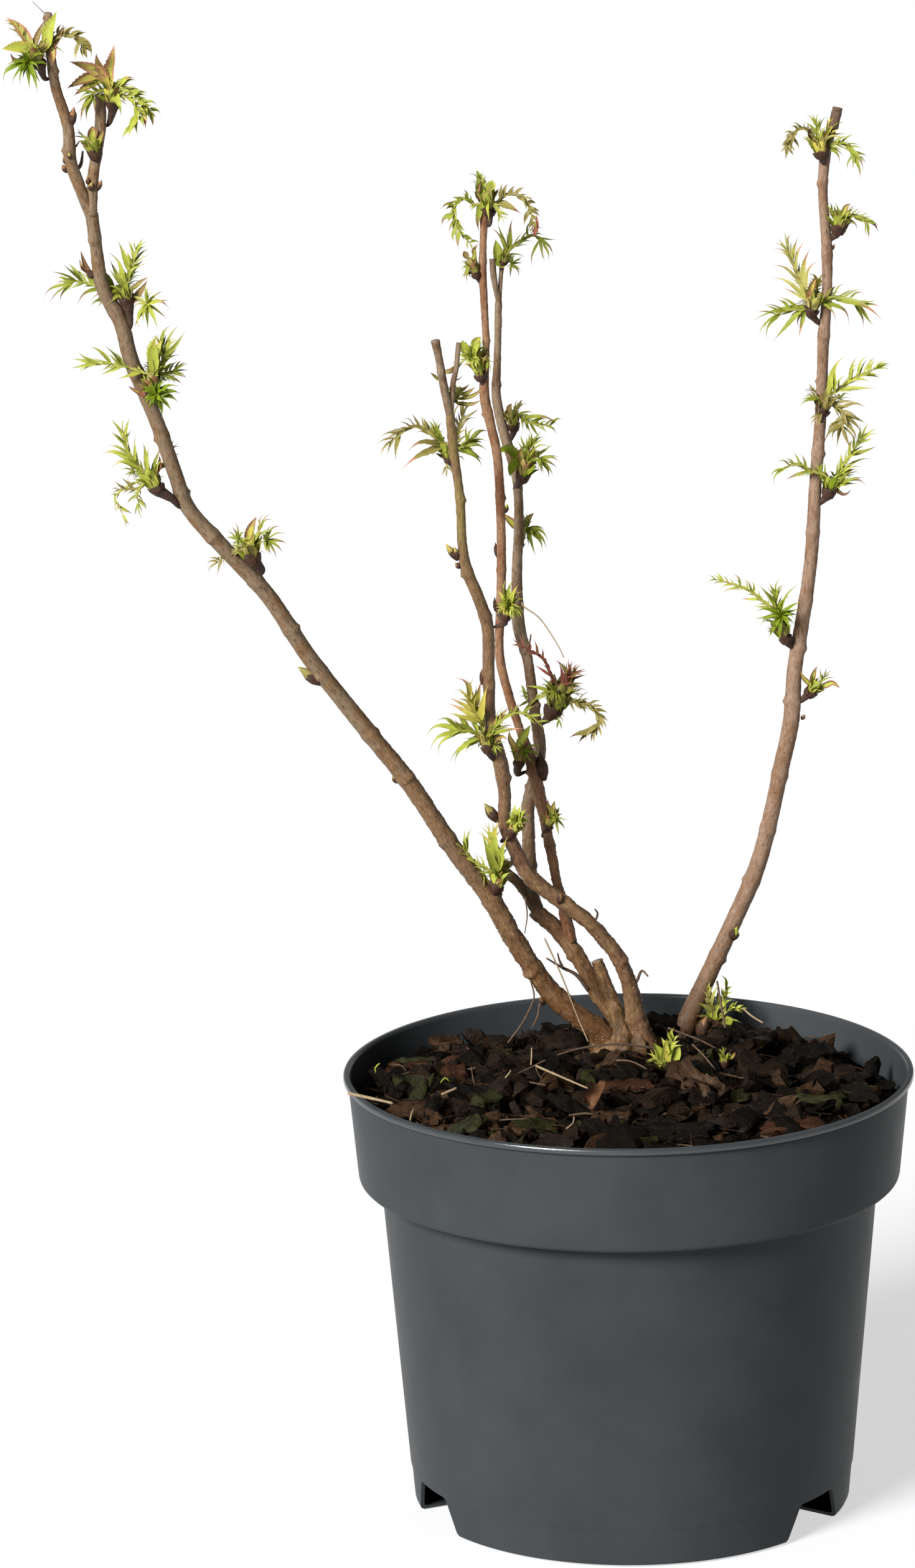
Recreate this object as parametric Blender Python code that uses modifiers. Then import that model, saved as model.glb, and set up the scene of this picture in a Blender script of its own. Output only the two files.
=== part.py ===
"""Potted false spirea: a shrub of a few bare stems at bud break, in a round nursery pot.

Metres, +Z up. The origin is on the pot's axis, level with the flat underside it stands on.
The front of the shrub is seen from -Y, with +X to the right. The tables of the plant's
own places are in millimetres, and MM turns them into metres.
"""

import math
from dataclasses import dataclass

import bmesh
import bpy
from mathutils import Matrix, Vector

MM = 0.001
GAP = 0.0003  # left between touching solids

# Pot
POT_SEGMENTS = 48
POT_HEIGHT = 0.180
RIM_RADIUS = 0.115
LIP_WIDTH = 0.003
LIP_HEIGHT = 0.0022
COLLAR_TOP_RADIUS = 0.1132
COLLAR_FOOT_RADIUS = 0.1094
COLLAR_FOOT_Z = 0.1362
BODY_TOP_RADIUS = 0.1005
SEAM_RADIUS = 0.0903
SEAM_Z = 0.0153
FOOT_RADIUS = 0.0888
WALL = 0.0015
EDGE_ROUND = 0.0012
CHANNEL_AZIMUTHS = (-64.0, 56.0, 176.0)  # degrees from -Y towards +X
CHANNEL_INNER_END = 0.030
CHANNEL_OUTER_END = 0.100
CHANNEL_HEIGHT = 0.0150
CHANNEL_FOOT_WIDTH = 0.0370
CHANNEL_ROOF_WIDTH = 0.0230
DRAIN_HOLE_RADIUS = 0.005
DRAIN_HOLE_PLACE = 0.060

# Potting mix, with a flat crown where the stems stand and a fall to the wall
MIX_TOP_Z = 0.174
MIX_EDGE_Z = 0.168
MIX_FLAT_RADIUS = 0.0895

# Wood
GROUND_Z = MIX_TOP_Z + GAP
STEM_STEP = 0.015  # distance between rings of a stem
STEM_SIDES_RESOLUTION = 2
CROWN_CENTRE = (-2, 53, 175)
CROWN_RADII = (14, 11, 12)
CROWN_LUMP = 0.10


@dataclass(frozen=True)
class Limb:
    """A stem or branch: its bends from foot to tip as (x, y, z, radius) in millimetres."""

    name: str
    bark: str
    bends: tuple
    cut_by: tuple = ()


LIMBS = (
    Limb("stem_left", "bark_brown", (
        (-4.5, 50, 178.5, 5.0), (-22.5, 46, 190.5, 4.4), (-34.5, 44, 204, 4.1),
        (-45.5, 41, 222.5, 4.0), (-56.5, 38, 243, 3.9), (-70.5, 34, 264, 3.7),
        (-86.5, 29, 291, 3.6), (-106, 23, 318.5, 3.4), (-125.5, 16, 346.5, 3.3),
        (-141.5, 9, 374, 3.2), (-158.5, 3, 395, 3.1), (-171.5, -1, 411.5, 3.0),
        (-176.5, -5, 427, 2.9), (-182.5, -9, 447.5, 2.9), (-191.5, -14, 473, 3.0),
        (-195, -16, 488.5, 3.0), (-201.5, -19, 503, 2.8), (-203.5, -22, 520, 2.4), (-205, -25, 537.5, 2.7),
    ), ("root_crown",)),
    Limb("stem_left_tip_1", "bark_brown", (
        (-205, -24, 534.5, 2.2), (-209, -26, 544, 2.3), (-212, -27, 554, 2.4),
        (-212.5, -28, 567, 2.2), (-216.5, -30, 582.5, 2.0), (-218, -31, 596, 1.8),
        (-218.5, -32, 610.5, 1.8),
    ), ("stem_left",)),
    Limb("stem_left_tip_2", "bark_brown", (
        (-204.5, -25, 536, 2.0), (-203.5, -24, 548, 2.2), (-201.5, -22, 558.5, 2.0),
        (-200.5, -20, 567, 2.2), (-200.5, -18, 578, 2.0),
    ), ("stem_left", "stem_left_tip_1")),
    Limb("stem_right", "bark_brown", (
        (21.5, 79, 171.5, 4.6), (27, 81, 182, 4.1), (34.5, 84, 197.5, 3.6),
        (44.5, 86, 218.5, 3.5), (53.5, 88, 239, 3.5), (59.5, 89, 260, 3.3),
        (68.5, 91, 302, 3.4), (70, 92, 322.5, 3.1), (72, 93, 335.5, 3.1),
        (75, 94, 353.5, 2.8), (79, 97, 400, 2.6), (81, 98, 425.5, 2.4),
        (82.5, 100, 460, 2.4), (84, 102, 479, 2.1), (84, 103, 498, 2.2),
        (82.5, 104, 519.5, 1.9), (83.5, 105, 534, 2.2), (88.5, 106, 554, 1.7),
    )),
    Limb("stem_front", "bark_brown", (
        (6.5, 49, 178.5, 4.4), (3.5, 48, 188, 4.0), (1, 46, 201.5, 3.2),
        (-9, 43, 222, 3.0), (-17, 41, 231.5, 3.0), (-30, 40, 242, 3.1),
        (-39.5, 38, 250.5, 3.2), (-45, 37, 261.5, 2.9), (-49, 35, 273, 2.7),
        (-50.5, 31, 300, 3.0), (-54, 28, 316, 2.4), (-54.5, 20, 357.5, 2.5),
        (-58, 16, 371, 2.4), (-62.5, 14, 383, 2.3), (-64, 11, 395, 1.9),
        (-66.5, 4, 432.5, 1.8), (-68, 0, 451.5, 1.9),
    ), ("root_crown",)),
    Limb("stem_front_tip_1", "bark_brown", (
        (-67.5, 1, 447.5, 1.5), (-70, -1, 460, 1.6), (-71.5, -2, 470, 1.5),
        (-73, -3, 478, 1.8),
    ), ("stem_front",)),
    Limb("stem_front_tip_2", "bark_brown", (
        (-67.5, 1, 448.5, 1.0), (-66.5, 1, 459, 1.1), (-65, 2, 466.5, 1.0),
        (-64, 4, 476, 1.0),
    ), ("stem_front", "stem_front_tip_1")),
    Limb("stem_back", "bark_brown", (
        (-1, 56, 177, 4.4), (-6.5, 58, 187, 3.6), (-12, 59, 194.5, 3.3),
        (-19.5, 60, 209, 3.3), (-27.5, 61, 220.5, 3.3), (-38, 61, 230.5, 3.2),
    ), ("root_crown",)),
    Limb("stem_grey", "bark_grey", (
        (-36.5, 61, 229.5, 2.4), (-39, 61, 236.5, 3.2), (-39.5, 62, 246.5, 2.9),
        (-40, 65, 273.5, 2.7), (-37, 67, 285, 2.6), (-35, 67, 298, 2.6),
        (-37, 68, 313.5, 2.2), (-39.5, 69, 334, 2.1), (-43, 71, 348, 2.6),
        (-43.5, 74, 367, 2.2), (-42.5, 76, 400, 1.9), (-43.5, 78, 410.5, 2.1),
        (-48, 80, 426, 2.1), (-51, 82, 440.5, 1.9), (-50.5, 84, 455, 1.5),
        (-49.5, 87, 483, 1.6),
    ), ("stem_back",)),
    Limb("stem_grey_tip_1", "bark_grey", (
        (-49.5, 87, 481, 1.0), (-51.5, 87, 489, 1.3), (-52, 88, 496.5, 1.3),
    ), ("stem_grey",)),
    Limb("stem_grey_tip_2", "bark_grey", (
        (-49.5, 87, 480.5, 0.9), (-48.5, 89, 490, 0.9), (-47.5, 91, 497, 1.2),
    ), ("stem_grey", "stem_grey_tip_1")),
    Limb("stem_red", "bark_red", (
        (-24, 60, 220, 2.4), (-25, 59, 227.5, 2.4), (-28, 57, 241, 2.0),
        (-33, 54, 269.5, 2.1), (-36, 54, 284, 2.7), (-39, 55, 297, 2.3),
        (-43, 55, 308.5, 1.7), (-47, 56, 321.5, 1.8), (-50.5, 57, 337, 1.8),
        (-49.5, 59, 372.5, 1.9), (-50.5, 61, 419.5, 1.9), (-53.5, 62, 434.5, 1.9),
        (-55.5, 62, 446, 2.0), (-54.5, 63, 464, 1.4), (-55.5, 65, 494, 1.6),
        (-54.5, 67, 518.5, 1.9),
    ), ("stem_back",)),
    Limb("stub_broken", "bark_brown", (
        (-1.5, 50, 186, 3.0), (-8.5, 53, 199, 2.9), (-12.5, 54, 210.5, 2.4),
    ), ("root_crown", "stem_back", "stem_front")),
    Limb("stub_dead", "bark_grey", (
        (-37, 60, 230, 2.0), (-42.5, 60, 240, 2.2), (-48, 58, 246, 2.0),
        (-53, 57, 250, 1.6),
    ), ("stem_back", "stem_grey", "stem_front")),
)


@dataclass(frozen=True)
class Tuft:
    """A mass of young leaves on a spur of one stem.

    spur_z is the height at which its spur leaves the stem, heart the middle of the bud, and
    reaches the way from the heart to the tips of its main leaves, all in millimetres.
    """

    name: str
    stem: str
    spur_z: float
    heart: tuple
    girth: float
    reaches: tuple


TUFTS = (
    Tuft("leaves_left_1", "stem_left", 241, (-53, 35, 249), 4.5, (
        (-10, -3, 21), (-19, 4, 15), (0, 2, 22), (-8, -8, 5), (6, -7, 13))),
    Tuft("leaves_left_2", "stem_left", 387, (-148, 0, 395), 4.0, (
        (17, -3, 2), (10, 4, 11), (-11, 2, 6), (0, -9, 12), (-15, 15, -13))),
    Tuft("leaves_left_3", "stem_left", 419, (-186, -8, 426), 4.0, (
        (-10, -2, 20), (-19, 4, 8), (13, 14, 11), (-12, -7, -3, -10, -9, -10, -4, -8, -17))),
    Tuft("leaves_left_4", "stem_left", 455, (-184, -18, 466), 4.5, (
        (-32, 5, 5), (-25, 9, 13), (13, 2, 20), (15, 8, 3), (11, -3, -8), (-8, -10, -2))),
    Tuft("leaves_left_5", "stem_left", 489, (-192, -18, 501), 4.0, (
        (-13, 12, 3, -24, 16, 3, -33, 16, 1), (6, 1, 21), (-5, 7, 19), (16, -6, -2), (8, -8, -14))),
    Tuft("leaves_left_6", "stem_left_tip_2", 553, (-205, -25, 560), 2.5, (
        (-6, -4, 2), (0, -2, 6), (2, -6, 5))),
    Tuft("leaves_left_7", "stem_left_tip_2", 575, (-198, -21, 581), 4.0, (
        (-14, 1, 10), (3, 5, 16), (-14, -5, 0), (-9, -7, -11), (16, 3, -11), (7, -5, -19))),
    Tuft("leaves_left_8", "stem_left_tip_1", 590, (-220, -34, 599), 4.0, (
        (-15, 5, 10), (-17, 1, -1), (-15, -7, -13), (-3, -5, -17), (5, 4, 13), (17, -1, -5))),
    Tuft("leaves_right_1", "stem_right", 310, (79, 90, 318), 3.0, (
        (-7, -4, 7), (0, 2, 7), (9, 0, -1), (6, 4, 4))),
    Tuft("leaves_right_2", "stem_right", 336, (65, 89, 349), 4.5, (
        (-30, 5, 13), (-12, -3, -1), (-5, -5, -9), (8, 6, 9), (8, -7, 5), (0, 1, 10))),
    Tuft("leaves_right_3", "stem_right", 394, (86, 94, 405), 4.0, (
        (1, 12, 4, -16, 14, 2, -24, 12, -5), (16, 0, 21), (18, 4, 11), (17, -4, 7), (14, 2, -5))),
    Tuft("leaves_right_4", "stem_right", 426, (86, 93, 435), 4.5, (
        (24, 0, 14), (5, 4, 19), (-12, -6, 2), (14, -4, -8), (8, -2, -14), (-8, -9, -8))),
    Tuft("leaves_right_5", "stem_right", 462, (78, 98, 475), 4.5, (
        (-12, 1, 30), (-16, -4, 17), (-24, -1, -7), (-16, -7, -14), (-6, -9, -12),
        (2, 12, 0, 17, 16, -1, 28, 17, -4))),
    Tuft("leaves_right_6", "stem_right", 500, (90, 100, 509), 3.5, (
        (-7, -6, 6), (3, 4, 6), (15, 2, -3), (11, -5, -7))),
    Tuft("leaves_right_7", "stem_right", 533, (83, 101, 541), 4.0, (
        (-15, -1, -5), (-7, 1, 11), (0, 6, 11), (11, -3, 0), (15, -5, -12))),
    Tuft("leaves_front_1", "stem_front", 268, (-43, 32, 276), 2.5, (
        (-3, -3, 6), (4, -4, 1), (0, -5, -2))),
    Tuft("leaves_front_2", "stem_front", 304, (-58, 25, 315), 5.0, (
        (-6, 3, 20), (-12, -3, 12), (-22, 3, -4), (-20, -3, -8), (-13, -5, -13), (22, -13, 0))),
    Tuft("leaves_front_3", "stem_front", 357, (-47, 19, 366), 3.5, (
        (2, 3, 10), (7, -3, 4), (5, -4, -4), (-7, -5, 7))),
    Tuft("leaves_front_4", "stem_front", 424, (-66, 1, 436), 3.5, (
        (-14, 4, 6, -23, 2, 3, -28, 0, -5), (12, 0, -3), (11, -4, -8), (-10, -6, 2))),
    Tuft("leaves_front_5", "stem_front", 443, (-66, 7, 453), 2.5, (
        (-9, 5, 9), (12, 11, 5), (6, 9, -2))),
    Tuft("leaves_red_1", "stem_red", 292, (-42, 48, 300), 3.5, (
        (-9, -3, 5), (2, 0, 9), (8, -4, 1), (2, -4, -5))),
    Tuft("leaves_red_2", "stem_red", 448, (-59, 61, 458), 3.5, (
        (-6, 0, 10), (4, 5, 7), (8, -4, 2), (-7, 2, -2))),
    Tuft("leaves_red_3", "stem_red", 514, (-54, 67, 526), 3.5, (
        (-4, 0, 8), (-10, -6, -1, -13, -9, -8, -11, -10, -16), (4, -4, 6),
        (9, 3, 1, 17, 2, -5, 20, -2, -16))),
    Tuft("leaves_red_4", "stem_red", 492, (-61, 62, 503), 2.5, (
        (-9, 4, 8), (-5, -3, 2), (-4, -3, -11), (-6, 7, 2))),
    Tuft("leaves_red_5", "stem_red", 266, (-29, 52, 272), 2.5, (
        (5, 0, -2), (1, -4, -6), (-1, 3, 6))),
    Tuft("leaves_grey_1", "stem_grey", 306, (-28, 64, 322), 4.0, (
        (12, 0, 7), (3, 4, 11), (-16, -10, 23), (13, -7, -1, 17, -6, -12, 8, -4, -20))),
    Tuft("leaves_grey_2", "stem_grey", 378, (-39, 74, 386), 2.5, (
        (-9, 5, 7), (2, 3, 7), (8, -4, -2), (3, -6, -9))),
    Tuft("leaves_grey_3", "stem_grey", 407, (-40, 73, 417), 3.5, (
        (-12, -5, 4), (-6, -7, -4), (-1, 2, 9), (14, -2, 1), (10, -5, -7))),
    Tuft("leaves_grey_4", "stem_grey", 422, (-44, 79, 432), 2.5, (
        (-2, 0, 5), (15, 0, -3), (9, 6, 3))),
    Tuft("leaves_grey_5", "stem_grey_tip_2", 490, (-45, 88, 500), 2.5, (
        (18, -2, -3), (9, -6, -6), (1, 5, 10))),
    Tuft("shoots_1", "", 0, (37, 82, 181), 4.0, (
        (1, 0, 14), (-4, -5, 6), (11, 2, 3), (13, -4, -2))),
    Tuft("shoots_2", "", 0, (16, 24, 179), 3.0, (
        (-8, 0, 1), (3, 3, 9), (6, -3, 1), (-3, 2, 7))),
    Tuft("shoots_3", "", 0, (39, 27, 177), 2.5, (
        (-3, 0, 4), (4, 1, 3), (1, -3, 2))),
)

# Leaves and spurs are lobes, pointed at both ends, with a four-cornered section between
LEAF_WIDEST = 0.62  # share of a straight leaf's length
LEAF_SLENDERNESS = 0.22  # half-width of a leaf's lobe against its length
LEAF_LEAST_HALF_WIDTH = 0.0014
LEAF_MOST_HALF_WIDTH = 0.0050
LEAF_FLATNESS = 0.60  # thickness of a lobe against its width
LEAF_ARCH = 0.10  # rise of a straight leaf's middle against its length
SPUR_RADIUS = 0.0022
TUFT_KEEP = 0.85  # share of a tuft's triangles kept when its slivers are collapsed

# Colours, roughness
FINISHES = {
    "pot_grey": ((0.095, 0.101, 0.106), 0.42),
    "bark_mulch": ((0.020, 0.013, 0.009), 0.85),
    "bark_brown": ((0.190, 0.108, 0.062), 0.72),
    "bark_grey": ((0.165, 0.118, 0.085), 0.75),
    "bark_red": ((0.205, 0.088, 0.050), 0.68),
    "young_leaf": ((0.335, 0.455, 0.050), 0.50),
}


def clear_scene():
    """Remove everything that the open file starts with."""
    for obj in list(bpy.data.objects):
        bpy.data.objects.remove(obj, do_unlink=True)


def new_collection(name):
    collection = bpy.data.collections.new(name)
    bpy.context.scene.collection.children.link(collection)
    return collection


def finish(node, key):
    """Give a node its own Principled material."""
    colour, roughness = FINISHES[key]
    material = bpy.data.materials.new(node.name)
    material.use_nodes = True
    shader = material.node_tree.nodes["Principled BSDF"]
    shader.inputs["Base Color"].default_value = (*colour, 1.0)
    shader.inputs["Roughness"].default_value = roughness
    shader.inputs["Metallic"].default_value = 0.0
    material.diffuse_color = (*colour, 1.0)
    node.data.materials.clear()
    node.data.materials.append(material)


def add_object(name, mesh, collection):
    obj = bpy.data.objects.new(name, mesh)
    collection.objects.link(obj)
    return obj


def hide_cutter(obj):
    obj.hide_render = True
    obj.display_type = "WIRE"


def boolean(target, other, operation, joins_itself=False):
    modifier = target.modifiers.new(f"{operation.lower()}_{other.name}", "BOOLEAN")
    modifier.operation = operation
    modifier.solver = "EXACT"
    modifier.use_self = joins_itself
    modifier.object = other


def evaluated_mesh(obj, name):
    """The object's mesh as its modifiers leave it, in world space."""
    bpy.context.view_layer.update()
    graph = bpy.context.evaluated_depsgraph_get()
    mesh = bpy.data.meshes.new_from_object(obj.evaluated_get(graph), depsgraph=graph)
    mesh.name = name
    mesh.transform(obj.matrix_world)
    return mesh


def weld(mesh, distance=1e-6):
    shape = bmesh.new()
    shape.from_mesh(mesh)
    bmesh.ops.remove_doubles(shape, verts=shape.verts, dist=distance)
    shape.to_mesh(mesh)
    shape.free()


def keep_largest_piece(mesh):
    """Drop the crumbs that a cut leaves beside the main body."""
    shape = bmesh.new()
    shape.from_mesh(mesh)
    bmesh.ops.remove_doubles(shape, verts=shape.verts, dist=1e-6)
    waiting = set(shape.verts)
    pieces = []
    while waiting:
        piece = set()
        edge_of_piece = {waiting.pop()}
        while edge_of_piece:
            vert = edge_of_piece.pop()
            piece.add(vert)
            nearby = {edge.other_vert(vert) for edge in vert.link_edges} - piece
            edge_of_piece |= nearby
            waiting -= nearby
        pieces.append(piece)
    main_piece = max(pieces, key=len)
    crumbs = [vert for vert in shape.verts if vert not in main_piece]
    bmesh.ops.delete(shape, geom=crumbs, context="VERTS")
    shape.to_mesh(mesh)
    shape.free()


def turned(name, profile, collection):
    """A solid turned round +Z from a profile that runs down its outer side."""
    mesh = bpy.data.meshes.new(name)
    points = [(radius, 0.0, z) for radius, z in profile]
    mesh.from_pydata(points, [(i, i + 1) for i in range(len(points) - 1)], [])
    obj = add_object(name, mesh, collection)
    screw = obj.modifiers.new("turn", "SCREW")
    screw.steps = POT_SEGMENTS
    screw.render_steps = POT_SEGMENTS
    screw.use_merge_vertices = True
    screw.merge_threshold = 0.00001
    screw.use_smooth_shade = True
    return obj


def inner_wall(offset):
    """(radius, z) up the inside of the pot, drawn in by offset, from its floor to its lip."""
    inset = WALL + offset
    return (
        (FOOT_RADIUS - inset, WALL + offset),
        (BODY_TOP_RADIUS - inset, COLLAR_FOOT_Z + inset),
        (COLLAR_FOOT_RADIUS - inset, COLLAR_FOOT_Z + inset),
        (RIM_RADIUS - LIP_WIDTH - offset, POT_HEIGHT - EDGE_ROUND),
    )


def channel_bar(name, azimuth, grow, cutters):
    """A bar of trapezoid section along one channel under the floor, its sides moved out by grow."""
    bottom = -0.001
    top = CHANNEL_HEIGHT + grow
    slope = (CHANNEL_FOOT_WIDTH - CHANNEL_ROOF_WIDTH) / CHANNEL_HEIGHT
    inner = CHANNEL_INNER_END - grow
    bpy.ops.mesh.primitive_cube_add(size=1.0)
    bar = bpy.context.active_object
    bar.name = name
    for collection in list(bar.users_collection):
        collection.objects.unlink(bar)
    cutters.objects.link(bar)
    for vert in bar.data.vertices:
        z = top if vert.co.z > 0 else bottom
        width = CHANNEL_FOOT_WIDTH - slope * z + 2.0 * grow
        run_in = inner + (z / CHANNEL_HEIGHT) * 0.5 * (CHANNEL_FOOT_WIDTH - CHANNEL_ROOF_WIDTH)
        y = -CHANNEL_OUTER_END if vert.co.y < 0 else -run_in
        vert.co = Vector((math.copysign(0.5 * width, vert.co.x), y, z))
    bar.data.transform(Matrix.Rotation(math.radians(azimuth), 4, "Z"))
    hide_cutter(bar)
    return bar


def drain_hole(name, azimuth, cutters):
    """A round cutter through the roof of one channel."""
    angle = math.radians(azimuth)
    place = (DRAIN_HOLE_PLACE * math.sin(angle), -DRAIN_HOLE_PLACE * math.cos(angle), CHANNEL_HEIGHT)
    bpy.ops.mesh.primitive_cylinder_add(
        vertices=12, radius=DRAIN_HOLE_RADIUS, depth=6.0 * WALL, location=place)
    hole = bpy.context.active_object
    hole.name = name
    for collection in list(hole.users_collection):
        collection.objects.unlink(hole)
    cutters.objects.link(hole)
    hide_cutter(hole)
    return hole


def build_pot(parts, cutters):
    """Thin-walled pot: lip, collar, tapering body, and a floor with three channels under it."""
    profile = (
        (0.0, WALL),
        *inner_wall(0.0),
        (RIM_RADIUS - 0.7 * LIP_WIDTH, POT_HEIGHT),
        (RIM_RADIUS, POT_HEIGHT - 0.4 * EDGE_ROUND),
        (RIM_RADIUS, POT_HEIGHT - LIP_HEIGHT),
        (COLLAR_TOP_RADIUS, POT_HEIGHT - LIP_HEIGHT),
        (COLLAR_FOOT_RADIUS, COLLAR_FOOT_Z + 0.5 * EDGE_ROUND),
        (COLLAR_FOOT_RADIUS - 0.5 * EDGE_ROUND, COLLAR_FOOT_Z),
        (BODY_TOP_RADIUS, COLLAR_FOOT_Z),
        (SEAM_RADIUS, SEAM_Z),
        (FOOT_RADIUS, 0.0),
        (0.0, 0.0),
    )
    pot = turned("pot", profile, parts)
    for number, azimuth in enumerate(CHANNEL_AZIMUTHS, 1):
        ridge = channel_bar(f"channel_ridge_{number}", azimuth, WALL, cutters)
        bound = turned(f"floor_bound_{number}", (
            (0.0, 0.030),
            (BODY_TOP_RADIUS - 0.010, 0.030),
            (FOOT_RADIUS - 0.5 * WALL, 0.5 * WALL),
            (0.0, 0.5 * WALL),
        ), cutters)
        hide_cutter(bound)
        boolean(ridge, bound, "INTERSECT")
        boolean(pot, ridge, "UNION")
    for number, azimuth in enumerate(CHANNEL_AZIMUTHS, 1):
        boolean(pot, channel_bar(f"channel_{number}", azimuth, 0.0, cutters), "DIFFERENCE")
        boolean(pot, drain_hole(f"drain_hole_{number}", azimuth, cutters), "DIFFERENCE")
    finish(pot, "pot_grey")


def build_potting_mix(parts, cutters):
    """The mix that fills the pot round the channel ridges, with the bark mulch on top."""
    wall = inner_wall(GAP)
    low, high = wall[2], wall[3]
    share = (MIX_EDGE_Z - low[1]) / (high[1] - low[1])
    edge_radius = low[0] + share * (high[0] - low[0])
    profile = (
        (0.0, MIX_TOP_Z),
        (MIX_FLAT_RADIUS, MIX_TOP_Z),
        (edge_radius, MIX_EDGE_Z),
        *reversed(wall[:3]),
        (0.0, wall[0][1]),
    )
    mix = turned("potting_mix", profile, parts)
    for number, azimuth in enumerate(CHANNEL_AZIMUTHS, 1):
        bar = channel_bar(f"mix_channel_{number}", azimuth, WALL + GAP, cutters)
        boolean(mix, bar, "DIFFERENCE")
    finish(mix, "bark_mulch")


def smooth_path(bends):
    """(place, radius) every STEM_STEP along the smooth curve through the bends, in metres."""
    rows = [Vector(bend) * MM for bend in bends]
    rows = [2.0 * rows[0] - rows[1], *rows, 2.0 * rows[-1] - rows[-2]]
    path = []
    for before, start, end, after in zip(rows, rows[1:], rows[2:], rows[3:]):
        pieces = max(1, round((end - start).length / STEM_STEP))
        for i in range(pieces):
            t = i / pieces
            path.append(0.5 * (
                2.0 * start
                + (end - before) * t
                + (2.0 * before - 5.0 * start + 4.0 * end - after) * t ** 2
                + (3.0 * start - before - 3.0 * end + after) * t ** 3))
    path.append(rows[-2])
    return [(row.xyz, row.w) for row in path]


def stem_axis_at(limb, z):
    """The place on a limb's axis at a height z, both in metres."""
    path = [place for place, _ in smooth_path(limb.bends)]
    for low, high in zip(path, path[1:]):
        if low.z <= z <= high.z:
            return low.lerp(high, (z - low.z) / max(high.z - low.z, 1e-9))
    return path[-1]


def tube(name, bends, grow, collection):
    """A limb's tapering tube, its skin and both ends moved out by grow, as a mesh object."""
    path = smooth_path(bends)
    places = [place.copy() for place, _ in path]
    places[0] += (places[0] - places[1]).normalized() * grow
    places[-1] += (places[-1] - places[-2]).normalized() * grow
    curve = bpy.data.curves.new(f"{name}_line", "CURVE")
    curve.dimensions = "3D"
    curve.bevel_depth = 1.0
    curve.bevel_resolution = STEM_SIDES_RESOLUTION
    curve.use_fill_caps = True
    spline = curve.splines.new("POLY")
    spline.points.add(len(places) - 1)
    for point, place, (_, radius) in zip(spline.points, places, path):
        point.co = (*place, 1.0)
        point.radius = radius + grow
    guide = add_object(f"{name}_line", curve, collection)
    mesh = evaluated_mesh(guide, name)
    weld(mesh)
    bpy.data.objects.remove(guide, do_unlink=True)
    obj = add_object(name, mesh, collection)
    mesh.shade_smooth()
    return obj


def ground_cutter(cutters):
    """A block that cuts every foot flat at ground level."""
    bpy.ops.mesh.primitive_cube_add(size=1.0)
    block = bpy.context.active_object
    block.name = "ground_cutter"
    block.data.transform(Matrix.Diagonal((0.4, 0.4, 0.1, 1.0)))
    block.data.transform(Matrix.Translation((0.0, 0.0, GROUND_Z - 0.05)))
    for collection in list(block.users_collection):
        collection.objects.unlink(block)
    cutters.objects.link(block)
    hide_cutter(block)
    return block


def crown_shape(name, grow, collection):
    """The woody knob at the foot of the stems, uneven all round."""
    mesh = bpy.data.meshes.new(name)
    shape = bmesh.new()
    bmesh.ops.create_icosphere(shape, subdivisions=2, radius=1.0)
    for vert in shape.verts:
        way = vert.co.normalized()
        lump = 1.0 + CROWN_LUMP * math.sin(3.0 * way.x + 5.0 * way.y) * math.cos(4.0 * way.z - way.x)
        vert.co = Vector(
            (radius * MM * lump + grow) * part for radius, part in zip(CROWN_RADII, way))
    shape.to_mesh(mesh)
    shape.free()
    mesh.transform(Matrix.Translation(Vector(CROWN_CENTRE) * MM))
    mesh.shade_smooth()
    return add_object(name, mesh, collection)


def settle(obj, parts):
    """Make a node's modifiers real and leave one clean body of it in the parts."""
    mesh = evaluated_mesh(obj, obj.name)
    keep_largest_piece(mesh)
    name = obj.name
    bpy.data.objects.remove(obj, do_unlink=True)
    node = add_object(name, mesh, parts)
    mesh.name = name
    return node


def build_wood(parts, cutters, ground):
    """Root crown and limbs. Returns the grown copy of each that later pieces are cut by."""
    crown = crown_shape("root_crown", 0.0, parts)
    boolean(crown, ground, "DIFFERENCE")
    finish(settle(crown, parts), "bark_brown")
    grown = {"root_crown": crown_shape("root_crown_grown", GAP, cutters)}
    for limb in LIMBS:
        stem = tube(limb.name, limb.bends, 0.0, parts)
        boolean(stem, ground, "DIFFERENCE")
        for other in limb.cut_by:
            boolean(stem, grown[other], "DIFFERENCE")
        finish(settle(stem, parts), limb.bark)
        grown[limb.name] = tube(f"{limb.name}_grown", limb.bends, GAP, cutters)
    for cutter in grown.values():
        hide_cutter(cutter)
    return grown


def add_lobe(shape, line, half_width, flatness=1.0):
    """Add one closed lobe along a line, pointed at both ends, its broad sides front and back."""
    ends = [[shape.verts.new(place)] * 4 for place in (line[0], line[-1])]
    rings = [ends[0]]
    for before, place, after in zip(line, line[1:], line[2:]):
        along = (after - before).normalized()
        side = along.cross(Vector((0.0, 1.0, 0.0)))
        side = side.normalized() if side.length > 0.2 else Vector((1.0, 0.0, 0.0))
        face = along.cross(side) * flatness
        rings.append([
            shape.verts.new(place + corner * half_width) for corner in (side, face, -side, -face)])
    rings.append(ends[1])
    for ring, following in zip(rings, rings[1:]):
        for i in range(4):
            j = (i + 1) % 4
            shape.faces.new(dict.fromkeys((ring[i], ring[j], following[j], following[i])))


def leaf_line(heart, girth, reach):
    """A leaf's line from inside the bud to its tip, by its bend where the reach gives one."""
    points = [heart + Vector(reach[i:i + 3]) * MM for i in range(0, len(reach), 3)]
    start = heart + (points[0] - heart).normalized() * 0.3 * girth
    if len(points) == 1:
        run = points[0] - start
        middle = start + run * LEAF_WIDEST
        middle.z += LEAF_ARCH * run.length
        return [start, middle, points[0]]
    return [start, *points]


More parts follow.
